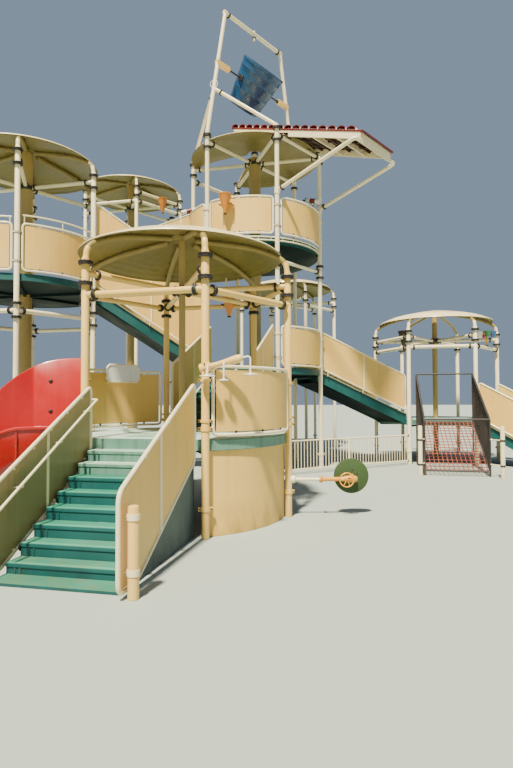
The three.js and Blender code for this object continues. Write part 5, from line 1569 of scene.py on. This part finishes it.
def bucket_frame():
    piece = Piece("bucket_portal_frame")
    for side in (-1, 1):
        run = [portal(side * HEX, 0, head_top + 0.0003), portal(side * HEX, 0, head_top + 0.08),
               portal(side * LEG_TOP, 0, BEAM_Z)]
        tube(piece, eased(run, 0.06), LEG_TUBE, CREAM, 22)
        disc(piece, portal(side * HEX, 0, head_top + 0.015), (0, 0, 1), FLANGE_RADIUS, 0.0147, BLACK)
        inner, outer = side * (BEARING + 0.021), side * (leg_at(AXLE_Z) + 0.05)
        board(piece, portal, rectangle(inner, outer, AXLE_Z - 0.06, AXLE_Z + 0.06), -0.055, 0.055, SAND)
        disc(piece, portal(inner, 0, AXLE_Z), portal_way, 0.05, 0.012, BLACK)
        joint = portal(side * LEG_TOP, 0, BEAM_Z) + np.array([*polar(PORTAL, -side * 0.12), 0])
        flange_pair(piece, joint, portal_way, 0.085, 0.016, 6)
        turned(piece, [(0, -0.06), (0.05, -0.055), (LEG_TUBE + 0.006, -0.03), (LEG_TUBE + 0.006, 0.06),
                       (0, 0.06)],
               portal(side * LEG_TOP, 0, BEAM_Z), CREAM, 24, tuple(side * -c for c in portal_way))
    tube(piece, [portal(-LEG_TOP - 0.05, 0, BEAM_Z), portal(LEG_TOP + 0.05, 0, BEAM_Z)], LEG_TUBE, CREAM, 22)
    nozzle = [(0, -0.28), (0.028, -0.28), (0.034, -0.25), (0.034, 0.0), (0, 0.0)]
    turned(piece, nozzle, portal(0, 0, BEAM_Z + 0.09), CREAM, 24)
    disc(piece, portal(0, 0, BEAM_Z - 0.1), (0, 0, 1), 0.05, 0.014, BLACK)
    joint = portal(-leg_at(10.1), 0, 10.1)
    for n in (0, 4):
        head = post(tall_tower, n, head_top + 0.06)
        tube(piece, [joint, head], 0.044, CREAM, 20)
        shoe = [(0, 0.0003), (0.075, 0.0003), (0.075, 0.02), (0.06, 0.03), (0.057, 0.07), (0, 0.075)]
        turned(piece, shoe, post(tall_tower, n, head_top), CREAM, 24)
        disc(piece, post(tall_tower, n, head_top + 0.012), (0, 0, 1), 0.098, 0.01, BLACK)
        near = joint + (head - joint) * 0.12
        flange_pair(piece, near, head - joint, 0.07, 0.014, 6)
    at = joint + np.array([0.0, 0.0, 0.12])
    turns = np.linspace(0, 2 * math.pi, 24, endpoint=False)
    hose = [at + 0.1 * np.array([math.cos(a), 0, math.sin(a)]) for a in turns]
    tube(piece, hose, 0.008, PUMP_WHITE, 8, closed=True)
    return piece


bucket_frame().make("structure", "cream_paint", ["bucket_frame"])
print("beam at", BEAM_Z, "axle at", AXLE_Z)

# %% [markdown]
# The tipping bucket is a big turned tub of blue plastic with a heavy rolled rim, stiffening rings pressed
# into its wall, and an axle stub bolted to each side. It rests tipped at 45 degrees, as in the photograph, so
# the profile is turned about a leaning axis and everything on it rides on the bucket's body.

# %% Tipping bucket
TILT = 45
ABOVE, BELOW, MOUTH, BASE, WALL = 0.537, 0.662, 0.633, 0.453, 0.022


def tub_wall(z):
    return BASE + (MOUTH - BASE) * (z + BELOW) / (ABOVE - 0.06 + BELOW)


def bucket_axis():
    swing = math.radians(TILT)
    sideways = np.array([*polar(PORTAL - 90, 1), 0])
    return sideways * math.sin(swing) + np.array([0, 0, math.cos(swing)])


def tipping_bucket():
    piece = Piece("tipping_bucket_tub")
    axis = bucket_axis()
    centre = np.array([*tall_centre, AXLE_Z])
    outer = [(0, -BELOW), (BASE - 0.04, -BELOW), (BASE - 0.012, 0.012 - BELOW), (BASE + 0.002, 0.05 - BELOW)]
    for z in (-0.45, -0.2, 0.1, 0.33):
        r = tub_wall(z)
        outer += [(r - 0.004, z - 0.03), (r + 0.008, z - 0.018), (r + 0.008, z + 0.018),
                  (r + 0.004, z + 0.03)]
    lip = [(MOUTH - 0.004, ABOVE - 0.08), (MOUTH + 0.012, ABOVE - 0.066), (MOUTH + 0.016, ABOVE - 0.03),
           (MOUTH + 0.01, ABOVE - 0.006),
           (MOUTH, ABOVE), (MOUTH - WALL, ABOVE - 0.004)]
    inner = [(BASE - WALL, 0.07 - BELOW), (BASE - WALL - 0.03, 0.04 - BELOW), (0, 0.04 - BELOW)]
    turned(piece, outer + lip + inner, centre, BLUE, 72, axis)
    for side in (-1, 1):
        tube(piece, [portal(side * 0.5, 0, AXLE_Z), portal(side * (BEARING + 0.02), 0, AXLE_Z)], 0.022, BLACK,
             18)
        wall = tub_wall(0)
        flange_pair(piece, portal(side * (wall + 0.012), 0, AXLE_Z), portal_way, 0.09, 0.014, 6)
        disc(piece, portal(side * (wall - 0.02), 0, AXLE_Z), portal_way, 0.11, 0.024, BLUE)
    return piece


tipping_bucket().make("bucket", "blue_plastic", ["tipping_bucket"])
print("bucket leans", [round(float(v), 3) for v in bucket_axis()])

# %% [markdown]
# The tiled splash roof leans out from the bucket over the side of the tall tower. Its barrel tiles run across
# the slope, row below row, with round ends that show along the near edge and thin pale ribs between them.
# Below are dark rafters between tan boards, a deep fascia at the eave, and two boards across. A picture of
# tiles would look flat from below the eave, so a loop sets real half-round shells.

# %% Tiled roof
ROOF_FROM, ROOF_TO, ROOF_Z, ROOF_SLOPE, ROOF_HALF, ROOF_THICK = -0.207, 3.935, 9.485, 0.364, 0.73, 0.06
EAVE, BOARD_REACH, PLANK, FASCIA = 1.78, 0.705, 0.034, 0.22
TILE_PITCH = 0.2635
TILE_ROWS = int((ROOF_TO - ROOF_FROM) / TILE_PITCH)
roof_place = side_view(tall_centre, edge_angle(0))


def roof_z(s):
    return ROOF_Z - ROOF_SLOPE * (s - ROOF_FROM)


def strip(a, b, drop, lift=0.0):
    return [(a, roof_z(a) - drop), (b, roof_z(b) - drop), (b, roof_z(b) + lift), (a, roof_z(a) + lift)]


def tile_row(piece, s, left, right):
    """One barrel tile: a half round shell whose open side lies on the boards."""
    way = unit(roof_place(1, 0, roof_z(1)) - roof_place(0, 0, roof_z(0)))
    lift = np.cross(way, roof_place(0, 1, 0) - roof_place(0, 0, 0))
    lift = lift if lift[2] > 0 else -lift
    half = TILE_PITCH * 0.47
    angles = np.linspace(0, math.pi, 13)
    rings = []
    for t, shrink in ((left, 1.0), ((left + right) / 2 - 0.02, 0.97), (right, 1.0)):
        centre = roof_place(s, t, roof_z(s) - 0.012)
        outer = [centre + way * half * shrink * math.cos(a) + lift * 0.078 * shrink * math.sin(a)
                 for a in angles]
        inner = [centre + way * half * shrink * 0.86 * math.cos(a) + lift * 0.064 * shrink * math.sin(a)
                 for a in angles[::-1]]
        rings.append(outer + inner)
    skin(piece, rings, TILE)


def tile_roof():
    piece = Piece("splash_roof")
    bed = [(s, z - 0.014) for s, z in strip(ROOF_FROM, ROOF_TO, ROOF_THICK - 0.014)]
    board(piece, roof_place, bed, -ROOF_HALF + 0.012, ROOF_HALF - 0.012, TILE, under=RAFTER)
    for k in range(TILE_ROWS):
        s = ROOF_FROM + TILE_PITCH * (k + 0.55)
        for left, right in ((-ROOF_HALF, -0.245), (-0.24, 0.245), (0.25, ROOF_HALF)):
            tile_row(piece, s, left, right)
        ridge = s + TILE_PITCH / 2
        rib = strip(ridge - 0.008, ridge + 0.008, 0.03, 0.022)
        board(piece, roof_place, rib, -ROOF_HALF, ROOF_HALF, PUMP_WHITE)
    for side in (-1, 1):
        t0, t1 = side * (BOARD_REACH - PLANK), side * BOARD_REACH
        board(piece, roof_place, strip(ROOF_FROM + 0.06, EAVE, 0.12, -0.02), t0, t1, CREAM)
        board(piece, roof_place, strip(EAVE, ROOF_TO - 0.06, FASCIA, -0.02), t0, t1, CREAM)
        t0, t1 = side * (BOARD_REACH - 0.001), side * (BOARD_REACH + 0.012)
        board(piece, roof_place, strip(EAVE - 0.02, ROOF_TO - 0.05, 0.035, -0.012), t0, t1, PUMP_WHITE)
    for start, end, drop in ((ROOF_TO - 0.094, ROOF_TO - 0.06, FASCIA + 0.09),
                             (ROOF_FROM + 0.06, ROOF_FROM + 0.094, 0.12)):
        board(piece, roof_place, strip(start, end, drop, -0.02), -BOARD_REACH, BOARD_REACH, CREAM)
    for s in (2.45, 3.15):
        board(piece, roof_place, strip(s, s + 0.06, 0.2, -0.04), -0.672, 0.672, CREAM)
    for k in range(13):
        s = 0.1 + 0.29 * k
        board(piece, roof_place, strip(s, s + 0.04, 0.115, -0.04), -0.67, 0.67, RAFTER)
    for t in (-0.35, 0.0, 0.35):
        board(piece, roof_place, strip(ROOF_FROM + 0.1, ROOF_TO - 0.1, 0.1, -0.04), t - 0.02, t + 0.02,
              RAFTER)
    for t in (-0.43, 0.43):
        strut = [roof_place(APOTHEM, t, radial_top), roof_place(APOTHEM, t, roof_z(APOTHEM) - 0.05)]
        tube(piece, strut, 0.03, CREAM, 16)
        disc(piece, roof_place(APOTHEM, t, radial_top + 0.012), (0, 0, 1), 0.06, 0.01, BLACK)
    flange = tall_tower["flange"]
    tube(piece, [roof_place(0, 0, flange + 0.0003), roof_place(0, 0, roof_z(0) - 0.03)], 0.06, CREAM, 24)
    flange_pair(piece, roof_place(0, 0, flange + 0.16), radius=0.1)
    return piece


tile_roof().make("structure", "dark_red_tile", ["tile_roof"], sharp=45)
print("tile rows", TILE_ROWS)

# %% [markdown]
# Two arms lean out from the posts of the tall tower to hold the far end of the roof. They belong to the
# tower's frame, so they are added to it before it is made, with the clamps on the posts of all the towers and
# the two beams under the upper deck.

# %% Roof arms and the rest of the tower frames
ARM_FOOT, ARM_OUT, ARM_Z = 7.15, 2.273, 7.745
for n in (0, 1):
    out = side_view(post(tall_tower, n, 0)[:2], edge_angle(0))
    inward = (1 if n == 0 else -1) * (HEX / 2 - BOARD_REACH - 0.0003)
    run = [out(0, 0, ARM_FOOT), out(ARM_OUT, 0, ARM_Z), out(ARM_OUT, inward, ARM_Z)]
    tube(frames["tall"], eased(run, 0.12), 0.045, CREAM, 20)
    at = out(0, 0, ARM_FOOT)
    turned(frames["tall"], rectangle(POST - 0.001, POST + 0.014, -0.08, 0.08), at, CREAM, 28)
    joint = out(0.16, 0, ARM_FOOT + (ARM_Z - ARM_FOOT) * 0.16 / ARM_OUT)
    flange_pair(frames["tall"], joint, run[1] - run[0], 0.082, 0.016, 6)

for name, tower in TOWERS.items():
    for n in range(6):
        for z in tower["collars"]:
            clamp_collar(frames[name], post(tower, n, z), tower["paint"])
UNDER_BEAM = 5.395  # height of the two beams under the upper deck
for n in (0, 1, 5):
    for z in (5.24, 5.55):
        flange_pair(frames["tall"], post(tall_tower, n, z))
for n in (0, 5):
    beam(frames["tall"], tall_tower, n, UNDER_BEAM, HEAD_TUBE, CREAM)
for name, piece in frames.items():
    slot = "sand_paint" if name == "front" else "cream_paint"
    piece.make("structure", slot, [name + "_frame"])
print("frames made", len(frames))

# %% [markdown]
# Water cannons stand on the upper rails. Each is a white barrel with a red-brown band below, on a pin that
# lets it turn, so each rides on its own body. Turned shapes on one leaning axis make the barrel, and a
# function makes the pair.

# %% Water cannons
CANNON_AZIMUTHS = {"right": -21, "left": 201}
CANNON_RAIL = 7.009  # top of the upper rail's tube


def water_cannon(word, azimuth, rail_top):
    at = around(tall_centre, azimuth, HEX, 0)
    place = side_view(at[:2], azimuth)
    z = rail_top + 0.15

    def along(s):
        return place(s, 0, z - 0.28 * s)

    way = unit(along(1) - along(0))
    piece = Piece("water_cannon_" + word)
    barrel = [(0, -0.19), (0.05, -0.19), (0.06, -0.17), (0.062, 0.2), (0.066, 0.205), (0.066, 0.235),
              (0.05, 0.235), (0.048, 0.15), (0, 0.15)]
    turned(piece, barrel, along(0), PUMP_WHITE, 32, way)
    turned(piece, [(0.058, -0.06), (0.0655, -0.06), (0.0655, 0.1), (0.058, 0.1)], along(0), BROWN_BAND, 32,
           way)
    tube(piece, [along(-0.28), along(-0.185)], [0.02, 0.028], BLACK, 16)
    tube(piece, [place(0, 0, rail_top + 0.0003), place(0, 0, z)], 0.018, CREAM, 16)
    turned(piece, [(0, 0.0003), (0.034, 0.0003), (0.034, 0.02), (0.022, 0.03), (0, 0.03)],
           place(0, 0, rail_top), BLACK, 20)
    handle = [place(-0.16, -0.05, z + 0.06), place(-0.2, -0.05, z + 0.12), place(-0.2, 0.05, z + 0.12),
              place(-0.16, 0.05, z + 0.06)]
    tube(piece, eased(handle, 0.03), 0.009, BLACK, 10)
    piece.make(word + "_cannon", "white_plastic", ["cannon_" + word])


for word, azimuth in CANNON_AZIMUTHS.items():
    water_cannon(word, azimuth, CANNON_RAIL)
print("cannon azimuths", CANNON_AZIMUTHS)

# %% [markdown]
# The level walk from the tall tower to the second one, high up: a floor of teal planks between edge boards,
# with a railing of sheet panels on both sides. It and the second deck are one solid in the model, so they are
# one here. The planks are separate boards, so that the gaps between them are real.

# %% Second deck and its walk
WALK_RAIL = 7.39
PLANKS = 12


def plank_floor(piece, place, top, start=0.0):
    """A level floor from one tower to the next: a bed, and planks on it with narrow gaps."""
    bed = top - 0.012
    # The bed's downward faces take the near black teal: painted shade under the walk.
    board(piece, place, rectangle(0, SPAN + 0.04, top - DECK_THICK, bed), -FLIGHT_HALF, FLIGHT_HALF, TEAL,
          under=DEEP_TEAL_PAINTED_SHADE)
    for k in range(PLANKS):
        a = start + k * SPAN / PLANKS
        plank = rectangle(a + 0.003, a + SPAN / PLANKS - 0.003, bed, top)
        board(piece, place, plank, 0.004 - FLIGHT_HALF, FLIGHT_HALF - 0.004, TEAL, top=TREAD)


second_deck = deck("second", SECOND_DECK, (0,), TEAL, TREAD)
walk = side_view(edge_middle(tall_tower, 3, 0.0003)[:2], edge_angle(3))
plank_floor(second_deck, walk, SECOND_DECK, 0.002)
for side in (-1, 1):
    edge_board = rectangle(0.004, SPAN - 0.004, UPPER_DECK + 0.0003, SECOND_DECK + 0.03)
    board(second_deck, walk, edge_board, side * (FLIGHT_HALF - 0.004), side * (FLIGHT_HALF + STRINGER), TEAL)
    t = side * FLIGHT_RAIL
    corners = rectangle(0.07, SPAN - 0.07, SECOND_DECK + 0.09, WALK_RAIL)
    flight_rail(second_deck, walk, t, corners, [SPAN * share for share in (0.25, 0.5, 0.75)])
    for s in (0.3, SPAN - 0.3):
        ends = [(t, SECOND_DECK + 0.09), (t, SECOND_DECK - 0.02),
                (side * (FLIGHT_HALF + STRINGER - 0.008), SECOND_DECK - 0.02)]
        bracket = [walk(s, across, z) for across, z in ends]
        tube(second_deck, eased(bracket, 0.03), 0.014, CREAM, 10)
second_deck.make("structure", "teal_deck", ["second_deck"])
print("walk length", round(SPAN, 3))

# %% [markdown]
# The far tower stands behind everything and has a bare deck joined to the tall one by a plank bridge. The
# function for the planks is used again.

# %% Far deck and its bridge
far_deck = deck("far", MID_DECK, (5,), TEAL, TREAD)
bridge = side_view(edge_middle(tall_tower, 2, 0.0003)[:2], 90)
plank_floor(far_deck, bridge, MID_DECK)
far_deck.make("structure", "teal_deck", ["far_deck"])
print("bridge planks", PLANKS)

# %% [markdown]
# The net climb: a box frame of black tube with fine mesh on its two sides, and a stay from it to the deck
# behind. The mesh could be a picture with holes, but it is seen from near by, so it is made of real strands:
# some ninety thin bars upright and some fifty along the slope on each side.

# %% Net frame with its mesh sides
NET_LEFT, NET_RIGHT, NET_REAR, NET_FRONT = 4.47, 6.0, 7.385, 5.25
REAR_TOP, FRONT_TOP, REAR_NET, FRONT_NET, NET_TUBE = 2.61, 1.39, 1.24, 0.12, 0.024
NET_BLACK = finish("net_frame_paint", (44, 40, 42), (70, 64, 62), dirt=srgb(92, 80, 64), smooth=0.4,
                   rough=0.65)
MESH_STEP = 0.024


MESH_STRAND = 0.0026
MESH_BARS = int((NET_REAR - NET_FRONT) / MESH_STEP)
MESH_LINES = int((FRONT_TOP - FRONT_NET) / MESH_STEP)


def net_frame():
    piece = Piece("net_climb_frame")
    length = NET_REAR - NET_FRONT
    for x in (NET_LEFT, NET_RIGHT):
        run = [(x, NET_REAR, 0), (x, NET_REAR, REAR_TOP), (x, NET_FRONT, FRONT_TOP), (x, NET_FRONT, 0)]
        tube(piece, eased(run, 0.08), NET_TUBE, NET_BLACK, 16)
        tube(piece, [(x, NET_REAR, REAR_NET), (x, NET_FRONT, FRONT_NET)], NET_TUBE, NET_BLACK, 14)
        for k in range(1, MESH_BARS):
            y = NET_FRONT + k * MESH_STEP
            share = (y - NET_FRONT) / length
            low, high = FRONT_NET + (REAR_NET - FRONT_NET) * share, FRONT_TOP + (REAR_TOP - FRONT_TOP) * share
            tube(piece, [(x, y, low), (x, y, high)], MESH_STRAND, NET_BLACK, 4)
        for k in range(1, MESH_LINES):
            share = k / MESH_LINES
            low = FRONT_NET + (FRONT_TOP - FRONT_NET) * share
            high = REAR_NET + (REAR_TOP - REAR_NET) * share
            tube(piece, [(x + 0.002, NET_FRONT, low), (x + 0.002, NET_REAR, high)], MESH_STRAND, NET_BLACK, 4)
        near = right_tower["centre"][1] - DECK_EDGE - 0.0003
        tube(piece, [(x, NET_REAR, REAR_NET - 0.02), (x, near, REAR_NET - 0.02)], 0.02, NET_BLACK, 12)
    for y, z in ((NET_REAR, REAR_TOP), (NET_REAR, REAR_NET), (NET_FRONT, FRONT_TOP), (NET_FRONT, FRONT_NET)):
        tube(piece, [(NET_LEFT, y, z), (NET_RIGHT, y, z)], NET_TUBE, NET_BLACK, 14)
    for x, near in ((NET_LEFT - 0.13, NET_LEFT), (NET_RIGHT + 0.22, NET_RIGHT)):
        foot = np.array([x, NET_FRONT - 0.3, 0])
        turned(piece, [(0, 0), (0.05, 0), (0.05, 1.225), (0.044, 1.242), (0, 1.25)], foot, CREAM, 24)
        for z in (0.3, 0.9):
            tube(piece, [foot + np.array([0, 0, z]), (near, NET_FRONT, z)], 0.016, CREAM, 12)
            turned(piece, [(0.048, -0.02), (0.058, -0.02), (0.058, 0.02), (0.048, 0.02)],
                   foot + np.array([0, 0, z]), BLACK, 24)
    return piece


net_frame().make("structure", "black_paint", ["net_frame"])
print("mesh on each side:", MESH_BARS - 1, "upright bars and", MESH_LINES - 1, "along the slope")

# %% [markdown]
# Between the two mesh sides lies the net that children climb: red-brown ropes up the slope, others across
# them, and a knot at each crossing. A tube per rope and a flat disc per knot give the right thickness and
# shadow, which a flat sheet with a pattern would not.

# %% Rope net
ROPE = finish("red_brown_rope", (124, 56, 42), (158, 92, 72), dirt=srgb(64, 30, 24), fading=0.7, streaks=0.4,
              smooth=0.8,
              rough=0.95, bump=0.6)
ROPE_RADIUS = 0.011
ROPES_ACROSS, ROPES_UP = 17, 14


def net_point(s, t):
    slope = (REAR_NET - FRONT_NET) / (NET_REAR - NET_FRONT)
    return np.array([(NET_LEFT + NET_RIGHT) / 2 - t, NET_FRONT + s, FRONT_NET + slope * s])


def rope_net():
    piece = Piece("climbing_rope_net")
    inset = NET_TUBE + 0.004
    s0, s1 = inset, NET_REAR - NET_FRONT - inset
    half = (NET_RIGHT - NET_LEFT) / 2 - inset
    lift = np.array([0, 0, ROPE_RADIUS * 0.5])
    upward = [-half + 0.02 + (2 * half - 0.04) * k / (ROPES_UP - 1) for k in range(ROPES_UP)]
    for t in upward:
        tube(piece, [net_point(s0 + (s1 - s0) * i / 10, t) + lift for i in range(11)], ROPE_RADIUS, ROPE, 8)
    for k in range(ROPES_ACROSS):
        s = s0 + 0.02 + (s1 - s0 - 0.04) * k / (ROPES_ACROSS - 1)
        tube(piece, [net_point(s, -half + 2 * half * i / 10) - lift for i in range(11)], ROPE_RADIUS, ROPE, 8)
        for t in upward:
            disc(piece, net_point(s, t), (0, -0.46, 0.89), 0.021, 0.012, ROPE, ease=0.008, segments=10)
    return piece


rope_net().make("structure", "rope", ["rope_net"])
print("ropes", ROPES_UP, "up the slope and", ROPES_ACROSS, "across it")

# %% [markdown]
# Four coloured cups stand on a stem above the right tower's header round its top. One turned profile serves
# all four, and only the finish changes.

# %% Coloured cups
CUP_COLOURS = {"cup_blue": (44, 96, 160), "cup_red": (190, 44, 44), "cup_white": (228, 226, 222),
               "cup_green": (50, 120, 78)}
cups = Piece("coloured_cups")
cup_foot = around(right_tower["centre"], edge_angle(0), APOTHEM, right_tower["flange"] - HEADER_DROP + 0.0503)
tube(cups, [cup_foot, (cup_foot[0], cup_foot[1], 3.9)], 0.022, YELLOW, 16)
turned(cups, [(0, 0.0), (0.05, 0.0), (0.05, 0.02), (0.024, 0.03), (0, 0.03)], cup_foot, BLACK, 24)
for k, (title, colour) in enumerate(CUP_COLOURS.items()):
    faded = tuple(min(255, c + 30) for c in colour)
    paint = finish(title, colour, faded, dirt=tuple(c * 0.4 for c in srgb(*colour)[:3]) + (1.0,), coat=0.3,
                   smooth=0.2)
    at = around(cup_foot, 90 * k, 0.19, 3.9)
    shape = [(0, -0.19), (0.054, -0.19), (0.06, -0.184), (0.1, -0.02), (0.105, -0.012), (0.106, -0.004),
             (0.1, 0), (0.095, -0.004), (0.052, -0.17), (0, -0.17)]
    turned(cups, shape, at, paint, 32)
    tube(cups, [(cup_foot[0], cup_foot[1], 3.84), (at[0], at[1], 3.84)], 0.014, YELLOW, 12)
cups.make("structure", "yellow_plastic", ["colour_cups"])
print("cups", list(CUP_COLOURS))

# %% [markdown]
# A low fence closes the gap between the tall tower and the right one: two rails and some forty-five thin
# pickets. An array modifier could set them; a loop spaces them evenly between the two posts.

# %% Fence
fence_start, fence_end = post(tall_tower, 0, 0), post(right_tower, 5, 0)
fence_length = float(np.linalg.norm(fence_end - fence_start))
fence_way = (fence_end - fence_start) / fence_length
fence_azimuth = math.degrees(math.atan2(fence_way[1], fence_way[0]))
fence_place = side_view(fence_start[:2], fence_azimuth)
PICKETS = 45
fence = Piece("pool_fence")
for z in (0.12, 0.85):
    tube(fence, [fence_place(POST, 0, z), fence_place(fence_length - POST, 0, z)], 0.018, CREAM, 14)
for k in range(PICKETS):
    s = 0.1 + (fence_length - 0.2) * k / (PICKETS - 1)
    tube(fence, [fence_place(s, 0, 0.12), fence_place(s, 0, 0.85)], 0.0095, CREAM, 8)
tube(fence, [fence_place(fence_length / 2, 0, 0), fence_place(fence_length / 2, 0, 0.87)], 0.03, CREAM, 18)
for s in (POST, fence_length - POST):
    for z in (0.12, 0.85):
        disc(fence, fence_place(s, 0, z), (*fence_way[:2], 0), 0.034, 0.012, BLACK, segments=18)
fence.make("structure", "cream_paint", ["fence"])
print("pickets", PICKETS, "length", round(fence_length, 3))

# %% Measure and finish
finished_box = [list(corner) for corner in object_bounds()]
growth = [round(b - a, 4) for a, b in zip(cad_box[0] + cad_box[1], finished_box[0] + finished_box[1])]
print("visual box minus CAD box", growth)
